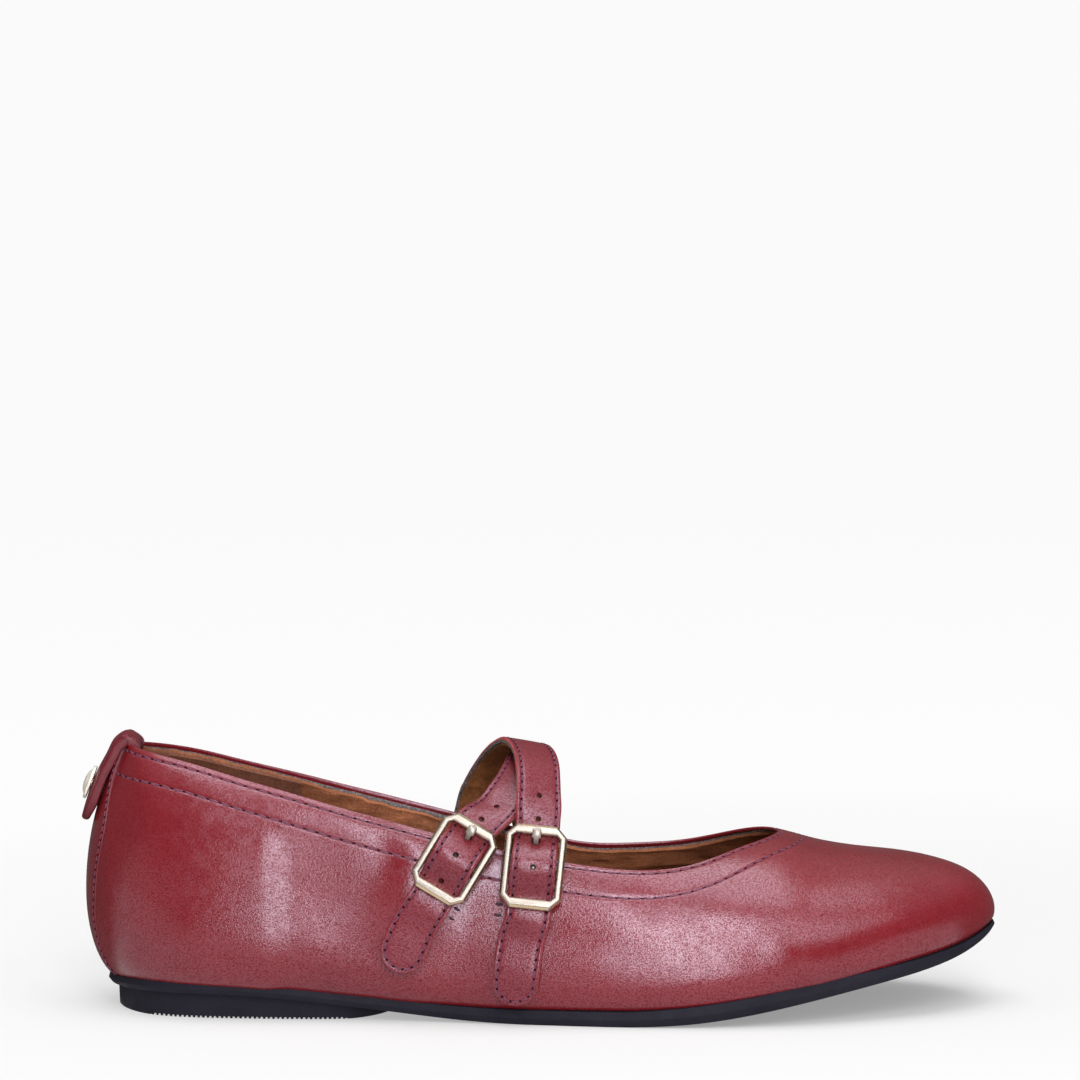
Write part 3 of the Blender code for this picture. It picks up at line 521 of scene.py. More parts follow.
def joined(shapes):
    """One set of points, faces and materials from several."""
    points, faces, materials, start = [], [], [], 0
    for shape in shapes:
        points.append(shape[0])
        faces += [tuple(corner + start for corner in face) for face in shape[1]]
        materials += shape[2]
        start += len(shape[0])
    return np.concatenate(points), faces, materials


def new_object(name, points, faces):
    mesh = bpy.data.meshes.new(name)
    mesh.from_pydata(points, [], faces)
    made = bpy.data.objects.new(name, mesh)
    bpy.context.scene.collection.objects.link(made)
    return made


def edit(mesh, change):
    """Changes a mesh for good through bmesh."""
    form = bmesh.new()
    form.from_mesh(mesh)
    change(form)
    form.to_mesh(mesh)
    form.free()


def clean(form):
    bmesh.ops.remove_doubles(form, verts=form.verts, dist=1e-7)
    bmesh.ops.recalc_face_normals(form, faces=form.faces)


def piece(name, shape, looks, node=None, slot="leather", sharp=40.0):
    points, faces, materials = shape
    made = new_object(name, place(points).tolist(), faces)
    mesh = made.data
    mesh.polygons.foreach_set("material_index", materials)
    edit(mesh, clean)
    mesh.shade_smooth()
    mesh.set_sharp_from_angle(angle=math.radians(sharp))
    for look in looks if isinstance(looks, list) else [looks]:
        mesh.materials.append(look)
    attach(made, "root")
    if node:
        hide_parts(node)
    return made


def cut(made, cutters):
    """Takes the cutters out of a piece for good."""
    points, faces, _ = joined(cutters)
    tool = new_object(made.name + "_cutters", place(points).tolist(), faces)
    edit(tool.data, lambda form: bmesh.ops.recalc_face_normals(form, faces=form.faces))
    change = made.modifiers.new("holes", "BOOLEAN")
    change.operation = "DIFFERENCE"
    change.solver = "EXACT"
    change.object = tool
    graph = bpy.context.evaluated_depsgraph_get()
    result = bpy.data.meshes.new_from_object(made.evaluated_get(graph))
    made.modifiers.clear()
    old, made.data = made.data, result
    bpy.data.meshes.remove(old)
    bpy.data.objects.remove(tool)
    made.data.set_sharp_from_angle(angle=math.radians(40))


def ring_about(axis, sides):
    axis = unit(np.asarray(axis, float))
    side = unit(np.cross(axis, (0.31, 0.52, 0.8)))
    turn = (np.arange(sides) + 0.5) * 2 * math.pi / sides
    return np.cos(turn)[:, None] * side + np.sin(turn)[:, None] * np.cross(axis, side)


def turned(base, axis, profile, sides=64):
    """A turned solid: the profile gives radius and height along the axis."""
    ring = ring_about(axis, sides)
    return sweep([base + np.asarray(axis) * height + ring * radius for radius, height in profile])


def rod(start, end, radius, sides=24):
    start, end = np.array(start, float), np.array(end, float)
    ring = ring_about(end - start, sides)
    return sweep([start + ring * radius, end + ring * radius])


def blob(middle, along, outward, length, width, height, rings=7, sides=8):
    """A rounded grain, such as one stitch of thread."""
    across = np.cross(along, outward)
    turn = np.arange(sides) * 2 * math.pi / sides
    ring = np.cos(turn)[:, None] * across * width / 2 + np.sin(turn)[:, None] * outward * height / 2
    t = -np.cos(np.linspace(0.12, math.pi - 0.12, rings))
    full = np.maximum(1 - np.abs(t) ** 3, 0.05) ** 0.5
    return sweep([middle + along * at * length / 2 + ring * share for at, share in zip(t, full)])


class Stitching:
    """Gathers every stitch, and at each needle hole a near-black blob that paints the shade inside the
    hole, so that each row is one piece.
    """

    thread_height = 0.42
    wander_step = 2.4

    def __init__(self):
        self.threads, self.holes = [], []

    def row(self, path, outward, pitch, slack=0.0, hole=(1.15, 0.50), width=0.58):
        """Stitches between needle holes along a finely spaced path. slack wanders each one a little off
        the line, and hole is the length and width of the near-black blob that paints the shade in each
        needle hole."""
        length = distances_along(path)
        count = max(2, round(length[-1] / pitch))
        at = np.linspace(0, length[-1], count + 1)
        spots, out = resample(at, length, path, outward)
        middles, middle_out = resample((at[1:] + at[:-1]) / 2, length, path, outward)
        for i in range(count):
            size = np.linalg.norm(spots[i + 1] - spots[i])
            along = (spots[i + 1] - spots[i]) / size
            away = unit(middle_out[i] - along * (middle_out[i] @ along))
            wander = math.sin(i * self.wander_step) * slack
            tilt = unit(along + np.cross(along, away) * (0.10 + wander))
            self.threads.append(
                blob(middles[i] + away * 0.06, tilt, away, size * 0.80, width, self.thread_height)
            )
        # Painted shade: a near-black blob sits over each needle hole in place of the shade inside it.
        for spot, away in zip(spots, out):
            i = min(np.argmin(np.linalg.norm(path - spot, axis=1)), len(path) - 2)
            along = unit(path[i + 1] - path[i])
            away = unit(away - along * (away @ along))
            self.holes.append(blob(spot + away * 0.05, along, away, *hole, 0.20, 5, 8))

    def finish(self, name):
        piece(name + "_thread", joined(self.threads), THREAD)
        piece(name + "_needle_holes", joined(self.holes), PAINTED_HOLE_SHADE)


# The upper's skin. Distances below the collar's edge are measured over the leather.
def first_seam(u):
    return 2.0 - 0.8 * ease((LAST.rim_x(u) - 100) / 60)


def second_seam(u):
    return 8.8 - 1.5 * ease((LAST.rim_x(u) - 168) / 20)


def columns_down(u, rows=301):
    """The shoe's v and the distance below the collar, at closely spaced places down each column."""
    v = np.linspace(1, -1, rows)
    grid = LAST.wall(u[:, None], v[None, :])
    steps = np.linalg.norm(np.diff(grid, axis=1), axis=2)
    return v, np.concatenate([np.zeros((len(u), 1)), np.cumsum(steps, axis=1)], axis=1)


def wall_below(u, distances):
    """The wall and its outward direction at distances below the collar."""
    v, fall = columns_down(u)
    v = np.stack([np.interp(want, down, v) for want, down in zip(distances, fall)])
    return LAST.face(u[:, None], v)


SWELL = Noise(5, 34)
DIMPLE = Noise(8, 11)


def relief(points, u, fall):
    """How far the leather stands out from the last."""
    x, y, z = points[..., 0], points[..., 1], points[..., 2]
    over_sole = z - LAST.edge_height(x)
    below_collar = ease((fall - 8) / 10)
    heel_part = ease((x - 14) / 16) * (1 - ease((x - 60) / 20))
    collar_part = ease((x - 8) / 12) * ease((105 - x) / 20)
    out = 0.07 * SWELL(points) + 0.02 * DIMPLE(points)
    out += (0.5 - 0.7 * ease((x - 48) / 8) + 0.32 * ease((x - 56) / 30)) * below_collar
    out -= 0.12 * ease((x - 86) / 14) * below_collar
    out += 1.2 * heel_part * hump((over_sole - 11) / 11)
    out += 1.9 * collar_part * (fall / 12) * np.exp(1 - fall / 12)
    out += read(FULLNESS, "out", np.clip(x, 0, 248)) * hump((over_sole - 3) / 8)
    for crease in CREASES:
        run_x, run_z = crease.x1 - crease.x0, crease.z1 - crease.z0
        share = ((x - crease.x0) * run_x + (z - crease.z0) * run_z) / (run_x**2 + run_z**2)
        near = np.clip(share, 0, 1)
        off = np.hypot(x - crease.x0 - near * run_x, z - crease.z0 - near * run_z)
        out -= crease.depth * hump(off / crease.width) * (y < 0)
    for seam in (first_seam(u), second_seam(u)):
        out -= 0.20 * hump((fall - seam) / 0.38)
    return out * ease(fall / 1.2)


def skin_surface(u, distances):
    """Points and outward directions of the leather at distances below the collar."""
    points, out = wall_below(u, distances)
    return points + out * relief(points, u[:, None], distances)[..., None], out


def upper_skin():
    u = LAST.around(640, 22.0)
    _, fall = columns_down(u)
    total = fall[:, -1:]
    one, two = first_seam(u)[:, None], second_seam(u)[:, None]

    def between(start, stop, shares):
        return start + (stop - start) * np.atleast_2d(shares)

    step = np.array([[-0.6, -0.38, -0.19, 0, 0.19, 0.38, 0.6]])
    band = between(one + 0.6, two - 0.6, np.linspace(0.11, 0.89, 8))
    rest = between(two + 0.6, total, np.linspace(0.016, 1, 56))
    down = np.concatenate([one * np.array([[0.24, 0.45]]), one + step, band, two + step, rest], axis=1)
    face, _ = skin_surface(u, down)
    top, normal = LAST.face(u[:, None], np.ones((1, 1)))
    below, _ = skin_surface(u, one * 0.24)
    up = unit(top - below)
    middle = top - (normal + up) * RIM_RADIUS
    turn = np.radians([170, 145, 120, 95, 70, 45, 20])[None, :, None]
    rim = middle + RIM_RADIUS * (np.cos(turn) * normal + np.sin(turn) * up)
    inside = np.concatenate(
        [np.array([[0.6, 1.2, 1.9, 2.4]]) + 0 * one, between(2.4, total, np.linspace(0.08, 1, 14))], axis=1
    )
    inner, out = wall_below(u, inside)
    return sweep(np.concatenate([face[:, ::-1], rim[:, ::-1], inner - out * SKIN], axis=1), closed=True)


def inner_layer(first, last, top, rough, rows, u=None, closed=True, crumple=0.0, lip=0.2):
    """A layer of the wall's inside, from a distance below the collar down to the insole. first and
    last are its faces' depths behind the leather's outer face."""
    u = LAST.around(420, 26.0) if u is None else u
    _, fall = columns_down(u)
    total = fall[:, -1:]
    start = top + rough * Noise(21, 6)(LAST.wall(u[:, None], np.full((1, 1), 0.9)))
    share = np.concatenate([[0, 0.012, 0.03, 0.055, 0.085, 0.12], np.linspace(0.16, 1, rows)])[None]
    down = (total - 1.0 - start) * share
    surface, out = wall_below(u, start + down)
    crease = Noise(33, 5)(surface * (0.45, 1, 1.6)) + 0.6 * Noise(34, 3)(surface * (0.6, 1, 1.3))
    fade = ease(down / 1.5) * np.exp(-np.maximum(down - 6, 0) / 16)
    depth = last - crumple * crease * fade + lip * hump((down - 0.4) / 0.28)
    soft = np.minimum(down / 0.5, 1)
    depth = first + (depth - first) * np.sqrt(np.clip(1 - (1 - soft) ** 2, 0.02, 1))
    inner, back = surface - out * depth[..., None], surface - out * first
    return sweep(np.concatenate([inner, back[:, ::-1]], axis=1), closed=closed)


def sole_rows(first, last, count):
    u = np.linspace(LAST.station(first, "lateral"), LAST.station(last, "lateral"), count)
    return np.interp(u, LAST.knots[: len(SECTIONS)], np.arange(len(SECTIONS)))


def slab(rows, levels, across=None, surface=None):
    """A flat piece through rows across the foot. levels run down its side edge; across gives shares
    of the way over its lower face, where surface() adds height."""
    sides = []
    for side in ("lateral", "medial"):
        edge = []
        for inset, height in levels:
            if callable(inset):
                inset = inset(rows)[:, None]
            plan = LAST.outline(LAST.station(rows, side), inset)
            edge.append(np.column_stack([plan, height(plan[:, 0])]))
        sides.append(np.stack(edge, axis=1))
    lateral, medial = sides[0], sides[1][:, ::-1]
    if across is None:
        return np.concatenate([lateral, medial], axis=1)
    share = np.asarray(across)[None, :, None]
    floor = lateral[:, -1:] + (medial[:, :1] - lateral[:, -1:]) * share
    floor[..., 2] += surface(floor, share[..., 0])
    return np.concatenate([lateral, floor, medial], axis=1)


COLOUR_A, COLOUR_B, COLOUR_MIXED = 6, 7, 2  # a Mix node's sockets for colours


class Graph:
    """A material built node by node, over the object's own coordinates."""

    def __init__(self, name, **sockets):
        self.made = bpy.data.materials.new(name)
        self.made.use_nodes = True
        self.tree = self.made.node_tree
        self.shader = self.tree.nodes["Principled BSDF"]
        for label, value in sockets.items():
            self.shader.inputs[label.replace("_", " ")].default_value = value
        self.place = self.add("ShaderNodeTexCoord", {}, "Object")

    def put(self, value, socket):
        if isinstance(value, bpy.types.NodeSocket):
            self.tree.links.new(value, socket)
        else:
            socket.default_value = value

    def add(self, kind, inputs, output, **settings):
        """Adds a node, fills its inputs and gives one of its outputs."""
        node = self.tree.nodes.new(kind)
        for label, value in settings.items():
            setattr(node, label, value)
        for label, value in inputs.items():
            self.put(value, node.inputs[label])
        return node.outputs[output]

    def stretched(self, scale):
        return self.add("ShaderNodeMapping", {"Vector": self.place, "Scale": scale}, "Vector")

    def noise(self, size, detail=2.0, roughness=0.5, where=None):
        """Noise whose features are about this many millimetres across."""
        given = {"Vector": where or self.place, "Scale": 1000 / size}
        given.update({"Detail": detail, "Roughness": roughness})
        return self.add("ShaderNodeTexNoise", given, "Fac")

    def cells(self, size):
        given = {"Vector": self.place, "Scale": 1000 / size}
        return self.add("ShaderNodeTexVoronoi", given, "Distance", feature="SMOOTH_F1")

    def ramp(self, factor, *stops):
        """stops are places, each followed by its value, which is a number or a colour."""
        colour = self.add("ShaderNodeValToRGB", {"Fac": factor}, "Color")
        fill_ramp(colour.node, stops)
        return colour

    def maths(self, operation, a, b):
        return self.add("ShaderNodeMath", {0: a, 1: b}, "Value", operation=operation)

    def mixed(self, factor, a, b, blend="MIX"):
        a, b = ((*value, 1) if isinstance(value, tuple) else value for value in (a, b))
        given = {"Factor": factor, COLOUR_A: a, COLOUR_B: b}
        return self.add("ShaderNodeMix", given, COLOUR_MIXED, data_type="RGBA", blend_type=blend)

    def bump(self, height, depth, under=None):
        """Raises the surface by depth millimetres where height is 1."""
        given = {"Height": height, "Distance": depth * 0.001, "Strength": 1.0}
        if under is not None:
            given["Normal"] = under
        return self.add("ShaderNodeBump", given, "Normal")

    def wire(self, label, value):
        self.put(value, self.shader.inputs[label])

    def done(self, colour, field, smooth, rough, normal):
        self.wire("Base Color", colour)
        self.wire("Roughness", self.ramp(field, 0.3, smooth, 0.7, rough))
        self.wire("Normal", normal)
        return self.made


def fill_ramp(node, stops):
    bar = node.color_ramp.elements
    while 2 * len(bar) < len(stops):
        bar.new(0.5)
    for element, spot, value in zip(bar, stops[::2], stops[1::2]):
        element.position = spot
        element.color = (*value, 1) if isinstance(value, tuple) else (value, value, value, 1)


def darker(colour, share):
    return tuple(part * share for part in colour)


def leather_look(name, light, deep, rough, grain, size, shine=0.7):
    """Grained leather: small pebbles with fine wrinkles over them, its dye a little uneven, and shade
    painted darker into the pebbles' hollows.
    """
    look = Graph(name, Specular_IOR_Level=shine, Specular_Tint=(0.88, 0.84, 1.0, 1.0))
    pebbles = look.noise(size, 1, 0.5, look.stretched((1.0, 1.0, 1.15)))
    colour = look.mixed(look.ramp(look.noise(38, 3), 0.35, 0.0, 0.65, 1.0), deep, light)
    colour = look.mixed(look.ramp(look.noise(1.6, 3, 0.6), 0.3, 0.25, 0.7, 0.0), colour, deep)
    # Painted shade: where the pebbles sink, the colour turns to a deeper red.
    colour = look.mixed(look.ramp(pebbles, 0.30, 0.60, 0.55, 0.0), colour, darker(deep, 0.62))
    wrinkles = look.maths("MULTIPLY", look.cells(size * 1.7), -0.5)
    height = look.maths("ADD", look.maths("MULTIPLY", pebbles, 1.6), wrinkles)
    look.wire("Specular IOR Level", look.ramp(pebbles, 0.36, 0.4 * shine, 0.58, 1.3 * shine))
    return look.done(colour, look.noise(3.0, 3), rough - 0.05, rough + 0.07, look.bump(height, grain))


def edge_look(name, deep, light):
    look = Graph(name, Specular_IOR_Level=0.35)
    colour = look.ramp(look.noise(2.2, 3, 0.6), 0.3, deep, 0.7, light)
    return look.done(colour, look.noise(1.5, 2), 0.38, 0.55, look.bump(look.noise(0.6, 3), 0.05))


def lining_look(name, light, deep, depth):
    look = Graph(name, Specular_IOR_Level=0.15)
    nap = look.noise(0.7, 4, 0.65)
    colour = look.mixed(look.ramp(look.noise(9, 3), 0.35, 0.0, 0.65, 1.0), deep, light)
    # Painted shade: where the nap sinks under its bump, the brown turns much darker.
    colour = look.mixed(look.ramp(nap, 0.35, 0.5, 0.6, 0.0), colour, darker(deep, 0.4))
    wrinkle = look.noise(2.6, 3, 0.6, look.stretched((0.6, 1.0, 1.5)))
    return look.done(colour, nap, 0.62, 0.82, look.bump(wrinkle, depth, look.bump(nap, 0.12)))


def felt_look():
    look = Graph("interlining", Specular_IOR_Level=0.2)
    speck = look.noise(0.42, 3, 0.7)
    dark, middle, pale = (0.045, 0.036, 0.038), (0.135, 0.115, 0.118), (0.30, 0.27, 0.27)
    colour = look.ramp(speck, 0.34, dark, 0.50, middle, 0.66, pale)
    return look.done(colour, speck, 0.85, 0.97, look.bump(look.noise(0.35, 3, 0.7), 0.16))


def rubber_look():
    look = Graph("sole_rubber", Specular_IOR_Level=0.06)
    fine = look.noise(0.5, 3, 0.6)
    colour = look.ramp(look.noise(14, 4, 0.6), 0.3, (0.0140, 0.0130, 0.0200), 0.7, (0.0210, 0.0197, 0.0290))
    # Painted shade: where the fine bump sinks, the rubber turns darker.
    colour = look.mixed(look.ramp(fine, 0.4, 0.25, 0.7, 0.0), colour, (0.008, 0.008, 0.011))
    waves = look.bump(look.noise(3.5, 2), 0.05)
    return look.done(colour, look.noise(4, 3), 0.48, 0.62, look.bump(fine, 0.02, waves))


def gold_look(name, deep, light, smooth, rough, metal=1.0):
    look = Graph(name, Metallic=metal, Specular_IOR_Level=0.3)
    colour = look.ramp(look.noise(5, 2), 0.3, deep, 0.7, light)
    rub = look.noise(1.1, 4, 0.6, look.stretched((1.0, 1.0, 3.0)))
    waves = look.bump(rub, 0.003)
    return look.done(colour, rub, smooth, rough, look.bump(look.noise(2.2, 2), 0.018, waves))


def thread_look(name, deep, light):
    look = Graph(name, Specular_IOR_Level=0.4)
    ply = look.noise(0.35, 2, 0.6)
    # Painted shade: the thread's deeper tone falls where its ply bump sinks, in the grooves between plies,
    # and the lighter tone lies on the raised plies.
    return look.done(look.ramp(ply, 0.35, deep, 0.65, light), ply, 0.5, 0.7, look.bump(ply, 0.08))


def dark_look(name, colour):
    look = Graph(name, Specular_IOR_Level=0.1)
    tone = look.noise(0.8, 2)
    colour = look.ramp(tone, 0.3, darker(colour, 0.6), 0.7, colour)
    return look.done(colour, tone, 0.8, 0.95, look.bump(look.noise(0.4, 2), 0.05))


LEATHER = leather_look(
    "burgundy_leather", (0.194, 0.0115, 0.0165), (0.157, 0.0085, 0.0125), 0.23, 0.025, 0.41
)
STRAP_LEATHER = leather_look(
    "strap_leather", (0.182, 0.0130, 0.020), (0.150, 0.0095, 0.0150), 0.32, 0.036, 0.46, 0.65
)
TAB_LEATHER = leather_look(
    "tab_leather", (0.165, 0.0115, 0.018), (0.130, 0.0085, 0.0135), 0.36, 0.035, 0.46, 0.30
)
EDGE = edge_look("painted_edge", (0.36, 0.050, 0.055), (0.50, 0.100, 0.100))
TAB_EDGE = edge_look("rolled_edge", (0.100, 0.010, 0.017), (0.145, 0.015, 0.024))
LINING = lining_look("brown_lining", (0.380, 0.138, 0.065), (0.235, 0.083, 0.038), 0.45)
GRIP = lining_look("heel_grip", (0.235, 0.090, 0.055), (0.165, 0.062, 0.037), 0.12)
STRAP_LINING = lining_look("strap_lining", (0.420, 0.165, 0.062), (0.210, 0.078, 0.028), 0.45)
SOCK = lining_look("sock_leather", (0.120, 0.052, 0.022), (0.085, 0.036, 0.016), 0.10)
FELT = felt_look()
RUBBER = rubber_look()
# A greyer, half-metallic copy of the gold for the surfaces that face the front lamp, the frame's flat face
# and the prong: its paleness paints the lamp's whitish highlight there. The rim gold is the deeper gold of
# the frame's sides.
PAINTED_HIGHLIGHT_GOLD = gold_look("painted_highlight_gold", (0.265, 0.230, 0.198), (0.295, 0.260, 0.228), 0.26, 0.32, 0.5)
RIM_GOLD = gold_look("rim_gold", (0.60, 0.45, 0.26), (0.70, 0.55, 0.35), 0.20, 0.32)
# A pale gold, less than half metallic, so that the stud looks bright whatever it reflects: painted shine.
STUD_PAINTED_SHINE_GOLD = gold_look("stud_painted_shine_gold", (0.88, 0.79, 0.67), (0.94, 0.86, 0.76), 0.20, 0.30, 0.4)
# A dark, rough gold for the buckles' middle bars: the darkness is painted shade, so the bars under the
# straps show no glints.
SHADED_BAR_GOLD = gold_look("shaded_bar_gold", (0.20, 0.14, 0.08), (0.26, 0.18, 0.11), 0.65, 0.80)
THREAD = thread_look("thread", (0.075, 0.014, 0.034), (0.175, 0.050, 0.095))
# The collar thread's purple darkened about five times for the anchors' tacks: painted shade beside the
# buckles' lower corners.
SHADED_TACK_THREAD = thread_look("shaded_tack_thread", (0.014, 0.003, 0.007), (0.040, 0.010, 0.022))
# Near-black marks that paint the shade inside the needle holes.
PAINTED_HOLE_SHADE = dark_look("needle_hole", (0.010, 0.002, 0.005))
GLUE = dark_look("glue_line", (0.006, 0.005, 0.007))


class Band:
    """A strip of leather along a middle surface, with places given as distance along it, distance
    across it and height over the middle surface."""

    def __init__(self, length, path, outward, half_width, neck=None, curl=None, guide=None):
        self.length, self.path = length, path
        self.total, self.half = length[-1], half_width
        self.centre = self.total - self.half  # of the tail's half circle
        self.curl = np.zeros((len(path), 3)) if curl is None else curl
        along = unit(np.gradient(path if guide is None else guide, axis=0))
        self.out = unit(outward - along * np.sum(outward * along, axis=1, keepdims=True))
        self.across = np.cross(along, self.out)
        self.neck = np.zeros(len(path)) if neck is None else neck

    def drawn_in(self, s):
        return np.interp(s, self.length, self.neck)

    def width_at(self, s):
        past = np.clip(s - self.centre, 0, self.half)
        return np.sqrt(np.maximum(self.half**2 - past**2, 0.01)) - self.drawn_in(s)

    def edge(self, s, y):
        """Distance in from the nearest edge."""
        round_end = self.half - np.hypot(s - self.centre, y)
        side = self.half - self.drawn_in(s) - np.abs(y)
        return np.maximum(np.where(s > self.centre, round_end, side), 0)

    def point(self, s, y, height):
        s, y, height = np.broadcast_arrays(*(np.asarray(a, float) for a in (s, y, height)))
        tracks = (self.path, self.across, self.out, self.curl)
        path, across, out, curl = resample(s, self.length, *tracks)
        share = (y / self.half)[..., None] ** 2
        return path + across * y[..., None] + curl * share + out * height[..., None]

    def outward(self, s):
        return resample(s, self.length, self.out)[0]

    def layer(self, low, high, shares, spacing, top=None, under=None):
        """A layer between two heights. top and under give each face's relief from the place along,
        the place across and the distance from the edge."""
        straight = np.linspace(0, self.centre, round(self.centre / spacing))
        end = self.centre + self.half * np.sin(np.linspace(0, math.pi / 2, 22)[1:])
        s = np.concatenate([straight, end])[:, None]
        faces = []
        for height, shape, order in ((high, top, 1), (low, under, -1)):
            y = self.width_at(s) * np.asarray(shares)[None, ::order]
            faces.append(self.point(s, y, height + (shape(s, y, self.edge(s, y)) if shape else 0)))
        return sweep(np.concatenate(faces, axis=1), looks=edge_looks(len(shares)))

    def seam(self, inset, start, height):
        """A line of sewing down one side, round the tail and back up the other."""
        down = np.linspace(start, self.centre, 400)
        turn = np.linspace(0, math.pi, 120)[1:-1]
        radius = self.half - inset
        s = np.concatenate([down, self.centre + radius * np.sin(turn), down[::-1]])
        side = radius - self.drawn_in(down)
        y = np.concatenate([side, radius * np.cos(turn), -side[::-1]])
        return self.point(s, y, height), self.outward(s)


def edge_looks(count):
    """The second look for the steps at both edges of a strip with this many points on each face."""
    looks = [0] * (2 * count)
    for step in (0, count - 2, count - 1, 2 * count - 1):
        looks[step] = 1
    return looks


def both_sides(shares):
    """Shares of the half width from one edge to the middle, carried on to the other edge."""
    return np.concatenate([shares, -np.array(shares[-2::-1])])


EDGE_SHARES = both_sides([1, 0.985, 0.955, 0.92, 0.88, 0.845, 0.815, 0.79, 0.765, 0.73, 0.64, 0.45, 0.2, 0])


def rounded(edge, radius):
    """How far a face falls away near its edge."""
    past = np.clip(radius - edge, 0, radius)
    return np.sqrt(radius**2 - past**2) - radius


def eased_track(length, track, size):
    """A track averaged over about this many millimetres each way."""
    step = length[-1] / (len(length) - 1)
    count = int(3 * size / step)
    share = np.exp(-0.5 * (np.arange(-count, count + 1) * step / size) ** 2)
    held = np.concatenate([np.repeat(track[:1], count, 0), track, np.repeat(track[-1:], count, 0)])
    return np.stack([np.convolve(held[:, i], share / share.sum(), "valid") for i in range(3)], -1)


def strap_band(bends, buckle, facing):
    """A strap through its bends, with the free part above the buckle eased into smooth curves."""
    spots, outward = zip(*(bend_at(bend, buckle, facing) for bend in bends))
    length, path, outward = strip_route(spots, outward)
    middle = in_buckle(buckle, (0, 0, 0))
    above = ((path - middle) @ buckle_axes(buckle)[0])[:, None]
    free = ease((-9.0 - above) / 4.0) * (np.arange(len(path)) > 200)[:, None]
    path = path + (eased_track(length, path, 2.6) - path) * free
    outward = eased_track(length, outward, 3.5)
    length = distances_along(path)
    neck = STRAP_NECK * (1 - ease((np.linalg.norm(path - middle, axis=1) - 13) / 6))
    return Band(length, path, outward, STRAP_WIDTH / 2, neck, guide=eased_track(length, path, 5.0))


def make_strap(bends, buckle, facing, holes_from_prong):
    """A strap's leather, interlining and lining, its punched holes and its sewing."""
    name, node = buckle.name + "_strap_", buckle.name + "_strap"
    band = strap_band(bends, buckle, facing)
    along = (band.path - in_buckle(buckle, (0, 0, 0))) @ buckle_axes(buckle)[0]
    near = np.linalg.norm(band.path - in_buckle(buckle, (-PRONG_HOLE, 0, 0)), axis=1) < 9
    prong_at = band.length[np.argmin(np.abs(along + PRONG_HOLE) + 100 * ~near)]
    holes = [prong_at + away for away in holes_from_prong]
    supple = Noise(41 if buckle.name == "front" else 42, 9)

    def top(s, y, edge):
        height = 0.10 * (1 - (y / band.half) ** 2) + rounded(edge, 0.38)
        height -= 0.16 * hump((edge - STRAP_SEAM) / 0.36)
        height += 0.05 * supple(np.stack([s + 0 * y, y, 0 * y], -1))
        for hole in holes:
            height -= 0.22 * hump(np.hypot(s - hole, y) / 1.25)
        return height

    cutters = []
    for hole in holes:
        spot, out = band.point(hole, 0, 0), band.outward(np.array(hole))
        radius = HOLE_RADIUS if hole != prong_at else PRONG_HOLE_RADIUS
        cutters.append(rod(spot - out * 2.5, spot + out * 2.5, radius, 20))
    half = STRAP_THICKNESS / 2
    felt_shares, lining_shares = np.linspace(0.985, -0.985, 9), np.linspace(0.87, -0.87, 21)
    for layer, looks, slot, shape in (
        ("leather", [STRAP_LEATHER, EDGE], "leather", band.layer(0.22, half, EDGE_SHARES, 0.6, top)),
        ("interlining", [FELT, FELT], "leather", band.layer(-0.42, 0.26, felt_shares, 0.8)),
        ("lining", [STRAP_LINING, STRAP_LINING], "lining", band.layer(-half, -0.38, lining_shares, 0.8)),
    ):
        cut(piece(name + layer, shape, looks, node, slot), cutters)
    sewing = Stitching()
    rows = [band.seam(STRAP_SEAM, SEWN_END_ROWS[0], half - 0.06)]
    across = np.linspace(-band.half + STRAP_SEAM, band.half - STRAP_SEAM, 60)
    for start in SEWN_END_ROWS:
        s = np.full(60, start)
        rows.append((band.point(s, across, half), band.outward(s)))
    for path, out in rows:
        sewing.row(path, out, STRAP_STITCH, hole=STRAP_HOLE_SHADE_SIZE)
    sewing.finish(node)


def rounded_bar(path, outward, half_width, thickness, sides=14, power=0.55):
    """A flat bar with rounded edges along a path."""
    along = unit(np.gradient(path, axis=0))
    outward = unit(outward - along * np.sum(outward * along, axis=1, keepdims=True))
    turn = (np.arange(sides) + 0.5) * 2 * math.pi / sides
    wide, high = (np.sign(way) * np.abs(way) ** power for way in (np.cos(turn), np.sin(turn)))
    half_width = np.reshape(half_width, (-1, 1, 1))
    thick = np.reshape(np.broadcast_to(thickness, len(path)), (-1, 1, 1))
    ring = path[:, None] + np.cross(along, outward)[:, None] * wide[None, :, None] * half_width
    return sweep(ring + outward[:, None] * high[None, :, None] * thick / 2)


